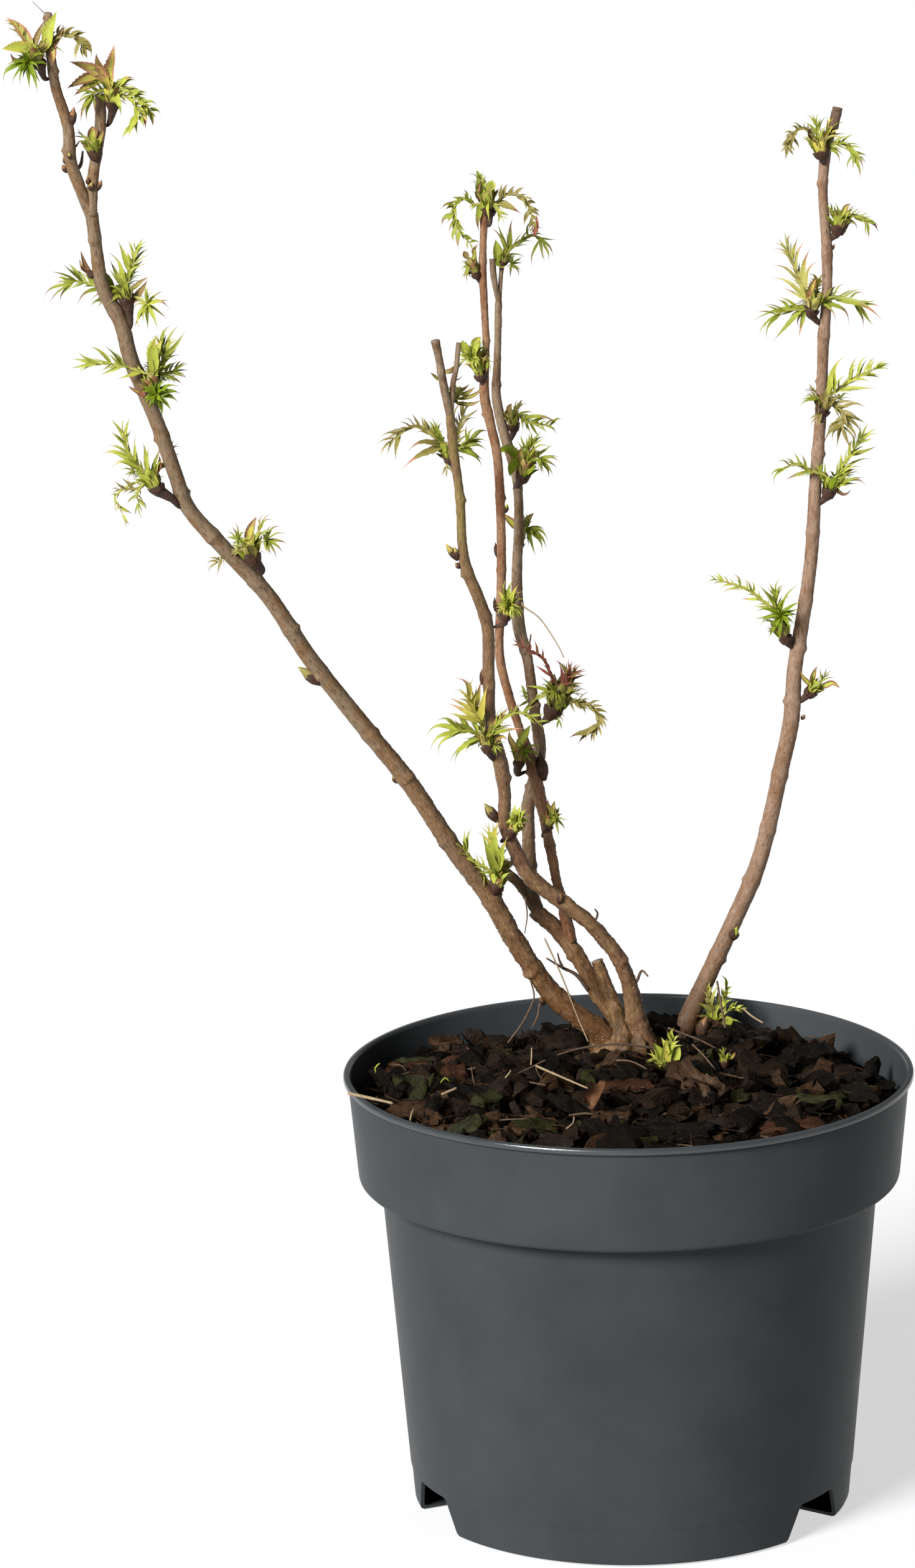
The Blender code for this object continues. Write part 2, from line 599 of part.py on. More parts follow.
def build_tufts(parts, grown, ground):
    """One uneven solid for each tuft of leaves, cut round the stems that it meets."""
    limbs = {limb.name: limb for limb in LIMBS}
    for tuft in TUFTS:
        heart = Vector(tuft.heart) * MM
        if tuft.stem:
            foot = stem_axis_at(limbs[tuft.stem], tuft.spur_z * MM)
        else:
            foot = Vector((heart.x, heart.y, GROUND_Z - 2.0 * MM))
        shape = bmesh.new()
        girth = tuft.girth * MM
        spur = heart - foot
        add_lobe(shape, [foot, foot + 0.02 * spur, heart - 0.02 * spur, heart], SPUR_RADIUS)
        bmesh.ops.create_icosphere(
            shape, subdivisions=1, radius=girth, matrix=Matrix.Translation(heart))
        for reach in tuft.reaches:
            line = leaf_line(heart, girth, reach)
            half_width = LEAF_SLENDERNESS * (line[-1] - heart).length
            half_width = min(max(half_width, LEAF_LEAST_HALF_WIDTH), LEAF_MOST_HALF_WIDTH)
            add_lobe(shape, line, half_width, LEAF_FLATNESS)
        bmesh.ops.recalc_face_normals(shape, faces=shape.faces)
        mesh = bpy.data.meshes.new(tuft.name)
        shape.to_mesh(mesh)
        shape.free()
        obj = add_object(tuft.name, mesh, parts)
        boolean(obj, ground, "DIFFERENCE", joins_itself=True)
        for cutter in grown.values():
            if boxes_meet(obj, cutter):
                boolean(obj, cutter, "DIFFERENCE")
        node = settle(obj, parts)
        node.modifiers.new("collapse_slivers", "DECIMATE").ratio = TUFT_KEEP
        finish(node, "young_leaf")


def boxes_meet(first, second):
    """Whether the two objects' boxes come within the gap of each other."""
    corners = [[obj.matrix_world @ Vector(c) for c in obj.bound_box] for obj in (first, second)]
    for axis in range(3):
        a = [corner[axis] for corner in corners[0]]
        b = [corner[axis] for corner in corners[1]]
        if min(a) > max(b) + GAP or min(b) > max(a) + GAP:
            return False
    return True


def main():
    clear_scene()
    parts = new_collection("potted_false_spirea")
    cutters = new_collection("cutters")
    build_pot(parts, cutters)
    build_potting_mix(parts, cutters)
    ground = ground_cutter(cutters)
    grown = build_wood(parts, cutters, ground)
    build_tufts(parts, grown, ground)


main()
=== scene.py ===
"""Potted false spirea at bud break: finish, bark, young leaves, mulch, studio and camera.

Metres, +Z up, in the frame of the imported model. The front of the shrub is seen from -Y.
Tables in millimetres are turned into metres by MM. Tables in pixels are read off the
photograph's 1470 x 2520 frame, and Sight turns them into places.
"""

import logging
import math
import random
from dataclasses import dataclass, field
from enum import Enum

import bpy
from mathutils import Matrix, Vector, noise

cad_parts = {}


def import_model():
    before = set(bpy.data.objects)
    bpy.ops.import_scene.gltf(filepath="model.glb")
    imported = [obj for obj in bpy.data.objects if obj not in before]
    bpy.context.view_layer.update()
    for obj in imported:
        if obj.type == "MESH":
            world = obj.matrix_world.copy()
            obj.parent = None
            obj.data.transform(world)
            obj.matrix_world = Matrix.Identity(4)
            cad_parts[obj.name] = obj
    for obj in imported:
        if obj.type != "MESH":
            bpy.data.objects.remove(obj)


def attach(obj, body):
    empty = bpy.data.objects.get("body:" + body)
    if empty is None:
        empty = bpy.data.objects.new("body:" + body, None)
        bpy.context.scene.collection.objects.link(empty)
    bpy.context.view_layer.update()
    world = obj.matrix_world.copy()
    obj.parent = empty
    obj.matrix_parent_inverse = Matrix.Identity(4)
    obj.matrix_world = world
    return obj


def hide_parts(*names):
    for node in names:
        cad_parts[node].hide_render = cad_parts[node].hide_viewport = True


LOG = logging.getLogger("potted_shrub")

MM = 0.001
BODY = "root"
SEED = 20260411

IMAGE_WIDTH = 1470
IMAGE_HEIGHT = 2520

TOWARDS_VIEWER = Vector((0.0, -1.0, 0.0))
UPWARDS = Vector((0.0, 0.0, 1.0))

POT_HEIGHT = 0.180

Colour = tuple[float, float, float]
Numbers = tuple[float, ...]
Bends = tuple[tuple[float, ...], ...]


# Helpers

def deselect_all() -> None:
    """Leave nothing selected and nothing active."""
    bpy.ops.object.select_all(action="DESELECT")
    bpy.context.view_layer.objects.active = None


def only(piece: bpy.types.Object) -> None:
    """Select one object and make it active.

    Args:
        piece: The object that the next operators act on.
    """
    deselect_all()
    piece.select_set(True)
    bpy.context.view_layer.objects.active = piece


def linked_object(name: str, mesh: bpy.types.Mesh) -> bpy.types.Object:
    """Put a mesh in the scene.

    Args:
        name: The piece's name.
        mesh: Its mesh, with its place in it.

    Returns:
        The new object, which sits at the origin.
    """
    mesh.name = name
    piece = bpy.data.objects.new(name, mesh)
    bpy.context.scene.collection.objects.link(piece)
    return piece


def declare(piece: bpy.types.Object, nodes: tuple[str, ...] = ()) -> None:
    """Tell the frame what a piece rides on and hide the CAD nodes that it stands for.

    Args:
        piece: The finished piece.
        nodes: The CAD nodes that it replaces.
    """
    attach(piece, BODY)
    if nodes:
        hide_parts(*nodes)
    LOG.info("%s: %d faces", piece.name, len(piece.data.polygons))


def smooth_line(points: list[Vector], step: float) -> list[Vector]:
    """Round a line of points off with a Catmull-Rom curve.

    Args:
        points: The bends, all of one dimension.
        step: Distance between two places on the result.

    Returns:
        Places along the curve, from the first bend to the last.
    """
    rows = [2.0 * points[0] - points[1], *points, 2.0 * points[-1] - points[-2]]
    line = []
    for before, start, end, after in zip(rows, rows[1:], rows[2:], rows[3:]):
        pieces = max(1, round((end - start).length / step))
        for i in range(pieces):
            t = i / pieces
            line.append(0.5 * (
                2.0 * start
                + (end - before) * t
                + (2.0 * before - 5.0 * start + 4.0 * end - after) * t ** 2
                + (3.0 * start - before - 3.0 * end + after) * t ** 3))
    line.append(points[-1].copy())
    return line


def even_line(line: list[Vector], count: int) -> list[Vector]:
    """Pick evenly spaced places on a line.

    Args:
        line: Places along the line.
        count: How many stretches there should be.

    Returns:
        count + 1 places.
    """
    lengths = [0.0]
    for start, end in zip(line, line[1:]):
        lengths.append(lengths[-1] + (end - start).length)
    places = []
    at = 0
    for i in range(count + 1):
        wanted = lengths[-1] * i / count
        while at < len(line) - 2 and lengths[at + 1] < wanted:
            at += 1
        stretch = lengths[at + 1] - lengths[at]
        share = (wanted - lengths[at]) / stretch if stretch > 0.0 else 0.0
        places.append(line[at].lerp(line[at + 1], min(max(share, 0.0), 1.0)))
    return places


def carried_frames(line: list[Vector]) -> list[tuple[Vector, Vector, Vector]]:
    """Carry a frame along a line with as little twist as possible.

    Args:
        line: Places along the line.

    Returns:
        For each place the direction along the line and two directions across it.
    """
    frames = []
    side = None
    for i in range(len(line)):
        ahead = line[min(i + 1, len(line) - 1)]
        behind = line[max(i - 1, 0)]
        along = (ahead - behind).normalized()
        if side is None:
            side = along.cross(Vector((0.0, 1.0, 0.0)))
            if side.length < 0.2:
                side = Vector((1.0, 0.0, 0.0))
        side = (side - along * side.dot(along)).normalized()
        frames.append((along, side, along.cross(side)))
    return frames


def across(way: Vector, along: Vector) -> Vector:
    """The part of a direction that is square to another one.

    Args:
        way: The direction.
        along: The one that it is made square to.

    Returns:
        A direction of length 1.
    """
    rest = way - along * way.dot(along)
    return rest.normalized() if rest.length > 1e-6 else along.orthogonal().normalized()


@dataclass(frozen=True)
class Sight:
    """The photograph's line of sight: where the camera stands and where it looks."""

    distance: float = 2.4
    height: float = 0.86974
    focal_pixels: float = 9930.2
    pitch: float = 0.2336
    yaw: float = -0.02793
    roll: float = -0.0158

    def eye(self) -> Vector:
        """Where the camera stands."""
        return Vector((0.0, -self.distance, self.height))

    def axes(self) -> tuple[Vector, Vector, Vector]:
        """The directions forwards, to the right and up in the picture."""
        forward = Vector((math.sin(self.yaw) * math.cos(self.pitch),
                          math.cos(self.yaw) * math.cos(self.pitch), -math.sin(self.pitch)))
        level = Vector((math.cos(self.yaw), -math.sin(self.yaw), 0.0))
        upright = level.cross(forward)
        right = level * math.cos(self.roll) + upright * math.sin(self.roll)
        up = upright * math.cos(self.roll) - level * math.sin(self.roll)
        return forward, right, up

    def ray(self, x: float, y: float) -> Vector:
        """The direction in which a pixel is seen."""
        forward, right, up = self.axes()
        return (forward + right * ((x - 0.5 * IMAGE_WIDTH) / self.focal_pixels)
                - up * ((y - 0.5 * IMAGE_HEIGHT) / self.focal_pixels))

    def at(self, x: float, y: float, depth: float) -> Vector:
        """The place seen at a pixel in the upright plane Y = depth, in metres."""
        ray = self.ray(x, y)
        return self.eye() + ray * ((depth + self.distance) / ray.y)

    def onto(self, x: float, y: float, level: float) -> Vector:
        """The place seen at a pixel in the level plane Z = level, in metres."""
        ray = self.ray(x, y)
        return self.eye() + ray * ((level - self.height) / ray.z)


SIGHT = Sight()


class MeshBuilder:
    """Gathers the corners, faces, finishes and grain of a joined piece.

    The grain is a place for each corner in which a pattern may run along a stem or a leaf.
    """

    def __init__(self) -> None:
        """Start with nothing."""
        self.corners: list[Vector] = []
        self.grains: list[Vector] = []
        self.faces: list[tuple[int, ...]] = []
        self.finishes: list[int] = []

    def corner(self, place: Vector, grain: Vector | None = None) -> int:
        """Add one corner and return its number."""
        self.corners.append(place)
        self.grains.append(place if grain is None else grain)
        return len(self.corners) - 1

    def face(self, corners: tuple[int, ...], finish: int = 0) -> None:
        """Add one face, its corners anticlockwise from outside."""
        self.faces.append(corners)
        self.finishes.append(finish)

    def band(self, low: list[int], high: list[int], finish: int = 0) -> None:
        """Join two closed rings of corners with a band of faces."""
        for i in range(len(low)):
            j = (i + 1) % len(low)
            self.face((low[i], low[j], high[j], high[i]), finish)

    def tube(self, line: list[Vector], radii: list[float], sides: int, finish: int = 0,
             end_finish: int | None = None) -> None:
        """Add a closed tube.

        Args:
            line: Places along its axis.
            radii: Its radius at each place.
            sides: Number of sides.
            finish: The number of its finish.
            end_finish: The number of its far end's finish, if that is another one.
        """
        before: list[int] = []
        run = 0.0
        for i, (place, radius, (_, side, face)) in enumerate(zip(line, radii, carried_frames(line))):
            if i:
                run += (place - line[i - 1]).length
            ring = []
            for k in range(sides):
                turn = 2.0 * math.pi * k / sides
                way = side * math.cos(turn) + face * math.sin(turn)
                grain = Vector((math.cos(turn) * radius, math.sin(turn) * radius, run))
                ring.append(self.corner(place + way * radius, grain))
            if before:
                self.band(before, ring, finish)
            else:
                self.face(tuple(reversed(ring)), finish)
            before = ring
        self.face(tuple(before), finish if end_finish is None else end_finish)

    def scale(self, foot: Vector, way: Vector, turn: float, profile: list[tuple[float, float]],
              spread: float, finishes: tuple[int, int, int]) -> None:
        """Add one scale that hugs a bud, with a low keel and a pointed end.

        Args:
            foot: The foot of the bud's axis.
            way: The direction of the axis.
            turn: The scale's place round the axis, in radians.
            profile: The height and the distance from the axis of each row, from its foot up.
            spread: Half the angle that it covers where it is widest.
            finishes: The numbers of its finishes at the foot, in the middle and at the end.
        """
        side = way.orthogonal().normalized()
        face = way.cross(side)
        last = len(profile) - 1
        before: list[int] = []
        for row, (rise, radius) in enumerate(profile[:-1]):
            share = row / last
            half = spread * (0.65 + 0.35 * min(3.0 * share, 1.0)) * math.sqrt(1.0 - share ** 2.2)
            now = []
            for column in range(-3, 4):
                angle = turn + half * column / 3
                out = side * math.cos(angle) + face * math.sin(angle)
                place = foot + way * rise + out * (radius * (1.07 - 0.025 * abs(column)))
                ragged = noise.noise(place * 900.0)
                now.append(self.corner(place + (out + way) * (ragged * 0.12 * radius)))
            if before:
                finish = finishes[0 if share < 0.5 else 1 if share < 0.8 else 2]
                for i in range(6):
                    self.face((before[i], before[i + 1], now[i + 1], now[i]), finish)
            before = now
        rise, radius = profile[-1]
        tip = self.corner(foot + way * rise + (side * math.cos(turn) + face * math.sin(turn)) * radius)
        for i in range(6):
            self.face((before[i], before[i + 1], tip), finishes[2])

    def lamina(self, spine: list[Vector], face: Vector, half_width: float, style: "LaminaStyle",
               finishes: tuple[int, int, int]) -> None:
        """Add one leaf blade with a midrib, a fold, teeth and pleats.

        Args:
            spine: Evenly spaced places along its midrib, one for each row of corners.
            face: The direction that its upper side looks in.
            half_width: Half its greatest width.
            style: Its outline and relief.
            finishes: The numbers of the finishes of its body, of the stretch between and of its
                tip, which its margin shares where the style has one.
        """
        last = len(spine) - 1
        step = (spine[1] - spine[0]).length
        before: list[int] = []
        for row in range(last):
            share = row / last
            along = (spine[row + 1] - spine[max(row - 1, 0)]).normalized()
            up = across(face, along)
            side = along.cross(up)
            tooth = style.teeth if row % 2 else -0.4 * style.teeth
            half = half_width * style.outline(share) * (1.0 + tooth)
            ridge = style.pleat * half_width * (1.0 if row % 2 else -1.0)
            now = []
            for column in range(-style.columns, style.columns + 1):
                out = abs(column) / style.columns
                reach = math.copysign(math.cos(style.fold * out), column) * half * out
                lift = math.sin(style.fold * out) * half * out + ridge * out
                ahead = (style.slant + tooth) * half * out
                grain = Vector((half * column / style.columns, row * step + ahead, 0.0))
                now.append(self.corner(spine[row] + side * reach + up * lift + along * ahead, grain))
            if before:
                if share > style.tip_share:
                    finish = finishes[2]
                else:
                    finish = finishes[1] if share > style.middle_share else finishes[0]
                for i in range(len(now) - 1):
                    rim = style.margin and i in (0, len(now) - 2) and share > 0.2
                    self.face((before[i], before[i + 1], now[i + 1], now[i]),
                              finishes[2] if rim else finish)
            before = now
        tip = self.corner(spine[last], Vector((0.0, last * step, 0.0)))
        for i in range(len(before) - 1):
            self.face((before[i], before[i + 1], tip), finishes[2])

    def piece(self, name: str, materials: list[bpy.types.Material],
              smooth: bool = True) -> bpy.types.Object:
        """Make the gathered faces one object.

        Args:
            name: The piece's name.
            materials: Its finishes, in the order that the faces number them.
            smooth: Whether its faces are shaded smooth.

        Returns:
            The new object.
        """
        mesh = bpy.data.meshes.new(name)
        mesh.from_pydata([tuple(corner) for corner in self.corners], [], self.faces)
        for material in materials:
            mesh.materials.append(material)
        mesh.polygons.foreach_set("material_index", self.finishes)
        grain = mesh.attributes.new("grain", "FLOAT_VECTOR", "POINT")
        grain.data.foreach_set("vector", [part for place in self.grains for part in place])
        if smooth:
            mesh.shade_smooth()
        mesh.validate()
        return linked_object(name, mesh)


@dataclass(frozen=True)
class LaminaStyle:
    """The outline and relief of a leaf blade.

    swell and taper shape the outline. The teeth, the pleats and the slant of the veins are
    shares of the half width, fold is the rise of each half in radians, and columns the faces on
    each half.
    """

    swell: float = 0.6
    taper: float = 1.3
    teeth: float = 0.30
    fold: float = 0.35
    pleat: float = 0.10
    slant: float = 0.4
    columns: int = 1
    middle_share: float = 0.60
    tip_share: float = 0.80
    margin: bool = False

    def outline(self, share: float) -> float:
        """The half width at a share of the length, with 1 as its greatest."""
        peak = self.swell / (self.swell + self.taper)
        most = peak ** self.swell * (1.0 - peak) ** self.taper
        if share <= 0.0:
            return 0.12
        return max(share ** self.swell * (1.0 - share) ** self.taper / most, 0.05)


# Finishes

def new_material(name: str) -> tuple[bpy.types.Material, bpy.types.NodeTree, bpy.types.Node]:
    """Make an empty Principled material.

    Args:
        name: The material's name.

    Returns:
        The material, its node tree and its shader.
    """
    material = bpy.data.materials.new(name)
    material.use_nodes = True
    tree = material.node_tree
    return material, tree, tree.nodes["Principled BSDF"]


class Weave:
    """Short ways to add the texture nodes that the finishes share."""

    def __init__(self, tree: bpy.types.NodeTree) -> None:
        """Work in one node tree."""
        self.tree = tree
        self.place = tree.nodes.new("ShaderNodeTexCoord").outputs["Object"]

    def grain(self, stretch: float) -> bpy.types.NodeSocket:
        """The piece's own grain, pressed together along its length by stretch."""
        attribute = self.tree.nodes.new("ShaderNodeAttribute")
        attribute.attribute_name = "grain"
        mapping = self.tree.nodes.new("ShaderNodeMapping")
        mapping.inputs["Scale"].default_value = (1.0, 1.0, stretch)
        self.tree.links.new(attribute.outputs["Vector"], mapping.inputs["Vector"])
        return mapping.outputs["Vector"]

    def noise(self, source: bpy.types.NodeSocket, scale: float, detail: float = 4.0,
              roughness: float = 0.6) -> bpy.types.NodeSocket:
        """A noise pattern's value."""
        texture = self.tree.nodes.new("ShaderNodeTexNoise")
        texture.inputs["Scale"].default_value = scale
        texture.inputs["Detail"].default_value = detail
        texture.inputs["Roughness"].default_value = roughness
        self.tree.links.new(source, texture.inputs["Vector"])
        return texture.outputs["Fac"]

    def math(self, operation: str, first: bpy.types.NodeSocket,
             second: bpy.types.NodeSocket | float) -> bpy.types.NodeSocket:
        """The result of one sum with two values."""
        node = self.tree.nodes.new("ShaderNodeMath")
        node.operation = operation
        node.use_clamp = False
        self.tree.links.new(first, node.inputs[0])
        if isinstance(second, float):
            node.inputs[1].default_value = second
        else:
            self.tree.links.new(second, node.inputs[1])
        return node.outputs[0]

    def span(self, source: bpy.types.NodeSocket, low: float, high: float,
             start: float = 0.0, end: float = 1.0) -> bpy.types.NodeSocket:
        """A value that goes from start to end as another one goes from low to high."""
        node = self.tree.nodes.new("ShaderNodeMapRange")
        node.inputs["From Min"].default_value = low
        node.inputs["From Max"].default_value = high
        node.inputs["To Min"].default_value = start
        node.inputs["To Max"].default_value = end
        self.tree.links.new(source, node.inputs["Value"])
        return node.outputs["Result"]

    def part(self, source: bpy.types.NodeSocket, axis: str) -> bpy.types.NodeSocket:
        """One coordinate of a place or direction."""
        node = self.tree.nodes.new("ShaderNodeSeparateXYZ")
        self.tree.links.new(source, node.inputs["Vector"])
        return node.outputs[axis]

    def ramp(self, source: bpy.types.NodeSocket,
             *stops: tuple[float, Colour]) -> bpy.types.NodeSocket:
        """A colour that follows a value through (place, colour) stops."""
        node = self.tree.nodes.new("ShaderNodeValToRGB")
        while len(node.color_ramp.elements) < len(stops):
            node.color_ramp.elements.new(0.5)
        for element, (place, colour) in zip(node.color_ramp.elements, stops):
            element.position = place
            element.color = (*colour, 1.0)
        self.tree.links.new(source, node.inputs["Fac"])
        return node.outputs["Color"]

    def mix(self, share: bpy.types.NodeSocket, first: bpy.types.NodeSocket,
            second: bpy.types.NodeSocket | Colour) -> bpy.types.NodeSocket:
        """A colour between two others."""
        node = self.tree.nodes.new("ShaderNodeMix")
        node.data_type = "RGBA"
        self.tree.links.new(share, node.inputs["Factor"])
        self.tree.links.new(first, node.inputs["A"])
        if isinstance(second, tuple):
            node.inputs["B"].default_value = (*second, 1.0)
        else:
            self.tree.links.new(second, node.inputs["B"])
        return node.outputs["Result"]

    def bump(self, shader: bpy.types.Node, height: bpy.types.NodeSocket, strength: float,
             distance: float) -> None:
        """Give a shader relief of a height in metres."""
        node = self.tree.nodes.new("ShaderNodeBump")
        node.inputs["Strength"].default_value = strength
        node.inputs["Distance"].default_value = distance
        self.tree.links.new(height, node.inputs["Height"])
        self.tree.links.new(node.outputs["Normal"], shader.inputs["Normal"])


@dataclass(frozen=True)
class PotPlastic:
    """Dark grey moulded plastic with cloudy scuffs and a sheen that is brighter on the lip."""

    name: str
    gloss: float = 0.03
    lift: float = 0.0
    dark: Colour = (0.0270, 0.0300, 0.0322)
    light: Colour = (0.0340, 0.0380, 0.0408)
    dust: Colour = (0.0520, 0.0550, 0.0570)

    def make(self) -> bpy.types.Material:
        """Build the material."""
        material, tree, shader = new_material(self.name)
        weave = Weave(tree)
        cloud = weave.noise(weave.place, 26.0, 5.0)
        colour = weave.ramp(cloud, (0.32, self.dark), (0.70, self.light))
        scuff = weave.span(weave.noise(weave.place, 330.0, 6.0, 0.75), 0.62, 0.80, 0.0, 0.35)
        tree.links.new(weave.mix(scuff, colour, self.dust), shader.inputs["Base Color"])
        tree.links.new(weave.span(cloud, 0.3, 0.7, 0.34 - self.lift, 0.46 - self.lift),
                       shader.inputs["Roughness"])
        weave.bump(shader, weave.noise(weave.place, 1500.0, 4.0), 0.20, 0.0002)
        shader.inputs["Specular IOR Level"].default_value = self.gloss
        return material


@dataclass(frozen=True)
class Bark:
    """Young bark: a ruddy foot, a greyer top with brown patches, streaks and dark cracks."""

    name: str
    low: Colour
    high: Colour
    patch: Colour
    dark: Colour
    pale: Colour
    foot: float = 0.20
    top: float = 0.50

    def make(self) -> bpy.types.Material:
        """Build the material."""
        material, tree, shader = new_material(self.name)
        weave = Weave(tree)
        rise = weave.span(weave.part(weave.place, "Z"), self.foot, self.top)
        ground = weave.ramp(rise, (0.0, self.low), (0.40, self.high))
        blotches = weave.noise(weave.grain(0.55), 105.0, 5.0, 0.62)
        colour = weave.mix(weave.span(blotches, 0.48, 0.55, 0.0, 0.95), ground, self.patch)
        streaks = weave.noise(weave.grain(0.30), 1100.0, 5.0, 0.70)
        colour = weave.mix(weave.span(streaks, 0.48, 0.34, 0.0, 0.65), colour, self.dark)
        colour = weave.mix(weave.span(streaks, 0.55, 0.70, 0.0, 0.45), colour, self.pale)
        specks = weave.span(weave.noise(weave.grain(0.8), 1150.0, 3.0, 0.6), 0.62, 0.70, 0.0, 0.8)
        tree.links.new(weave.mix(specks, colour, self.dark), shader.inputs["Base Color"])
        relief = weave.math("SUBTRACT", streaks, weave.math("MULTIPLY", specks, 0.3))
        weave.bump(shader, relief, 0.55, 0.0006)
        tree.links.new(weave.span(rise, 0.0, 0.5, 0.36, 0.58), shader.inputs["Roughness"])
        shader.inputs["Specular IOR Level"].default_value = 0.14
        return material


@dataclass(frozen=True)
class Mottled:
    """A rough natural surface of two tones, such as a bark chip, with a grain if stretched."""

    name: str
    dark: Colour
    light: Colour
    scale: float = 160.0
    roughness: float = 0.6
    depth: float = 0.0012
    gloss: float = 0.14
    stretch: float = 1.0

    def make(self) -> bpy.types.Material:
        """Build the material."""
        material, tree, shader = new_material(self.name)
        weave = Weave(tree)
        grain = weave.grain(self.stretch)
        cloud = weave.noise(grain, self.scale, 6.0, 0.7)
        fine = weave.noise(grain, self.scale * 4.0, 4.0, 0.7)
        both = weave.math("MULTIPLY", weave.math("ADD", cloud, fine), 0.5)
        colour = weave.ramp(both, (0.36, self.dark), (0.64, self.light))
        tree.links.new(colour, shader.inputs["Base Color"])
        weave.bump(shader, both, 0.8, self.depth)
        shader.inputs["Roughness"].default_value = self.roughness
        shader.inputs["Specular IOR Level"].default_value = self.gloss
        return material


@dataclass(frozen=True)
class Leaf:
    """A young leaf: a plain colour with faint mottling, finely creased, that light gets into."""

    name: str
    colour: Colour
    roughness: float = 0.46
    vein_pitch: float = 6600.0

    def make(self) -> bpy.types.Material:
        """Build the material."""
        material, tree, shader = new_material(self.name)
        weave = Weave(tree)
        cloud = weave.noise(weave.place, 420.0, 4.0, 0.6)
        grain = weave.grain(1.0)
        aside = weave.math("ABSOLUTE", weave.part(grain, "X"), 0.0)
        ahead = weave.math("SUBTRACT", weave.part(grain, "Y"), weave.math("MULTIPLY", aside, 1.2))
        veins = weave.math("SINE", weave.math("MULTIPLY", ahead, self.vein_pitch), 0.0)
        both = weave.math("ADD", cloud, weave.math("MULTIPLY", veins, 0.07))
        rib = weave.span(aside, 0.00012, 0.00003, 0.0, 0.10)
        shade = tuple(part * 0.88 for part in self.colour)
        glow = tuple(min(part * 1.05, 1.0) for part in self.colour)
        tree.links.new(weave.ramp(weave.math("ADD", both, rib), (0.36, shade), (0.64, glow)),
                       shader.inputs["Base Color"])
        weave.bump(shader, both, 0.35, 0.0004)
        shader.inputs["Roughness"].default_value = self.roughness
        shader.inputs["Specular IOR Level"].default_value = 0.16
        shader.inputs["Subsurface Weight"].default_value = 0.50
        shader.inputs["Subsurface Radius"].default_value = (0.6, 1.0, 0.2)
        shader.inputs["Subsurface Scale"].default_value = 0.0026
        return material


class Tint(Enum):
    """The tints of the young leaves and buds, numbered as the pieces number their finishes; one green is
    darkened as painted shade.
    """

    LIME = 0
    YELLOW = 1
    PALE = 2
    GREEN = 3
    # This tint is the green darkened: painted shade for leaves that sit in shade.
    DEEP = 4
    OLIVE = 5
    BRACT = 6
    PINK = 7
    BRONZE = 8
    RED = 9
    SCALE = 10
    SPUR = 11
    STALK = 12


LEAF_FINISHES = (
    Leaf("leaf_lime", (0.272, 0.296, 0.0400)),
    Leaf("leaf_yellow", (0.345, 0.305, 0.0520)),
    Leaf("leaf_pale", (0.329, 0.310, 0.0777)),
    Leaf("leaf_green", (0.191, 0.214, 0.0233)),
    # A darker copy of the green: painted shade for leaves that sit in shade.
    Leaf("leaf_deep", (0.130, 0.180, 0.0078)),
    Leaf("leaf_olive", (0.191, 0.159, 0.0427)),
    Leaf("leaf_bract", (0.295, 0.226, 0.0583)),
    Leaf("leaf_pink", (0.350, 0.175, 0.0855)),
    Leaf("leaf_bronze", (0.186, 0.0878, 0.0373)),
    Leaf("leaf_red", (0.199, 0.0585, 0.0389)),
    Mottled("bud_scale", (0.0138, 0.0067, 0.0046), (0.0736, 0.0334, 0.0187), 700.0, 0.45, 0.0005),
    Mottled("bud_spur", (0.0191, 0.0108, 0.0078), (0.0909, 0.0519, 0.035), 600.0, 0.62, 0.0008),
    Leaf("leaf_stalk", (0.290, 0.285, 0.070)),
)


# Pot

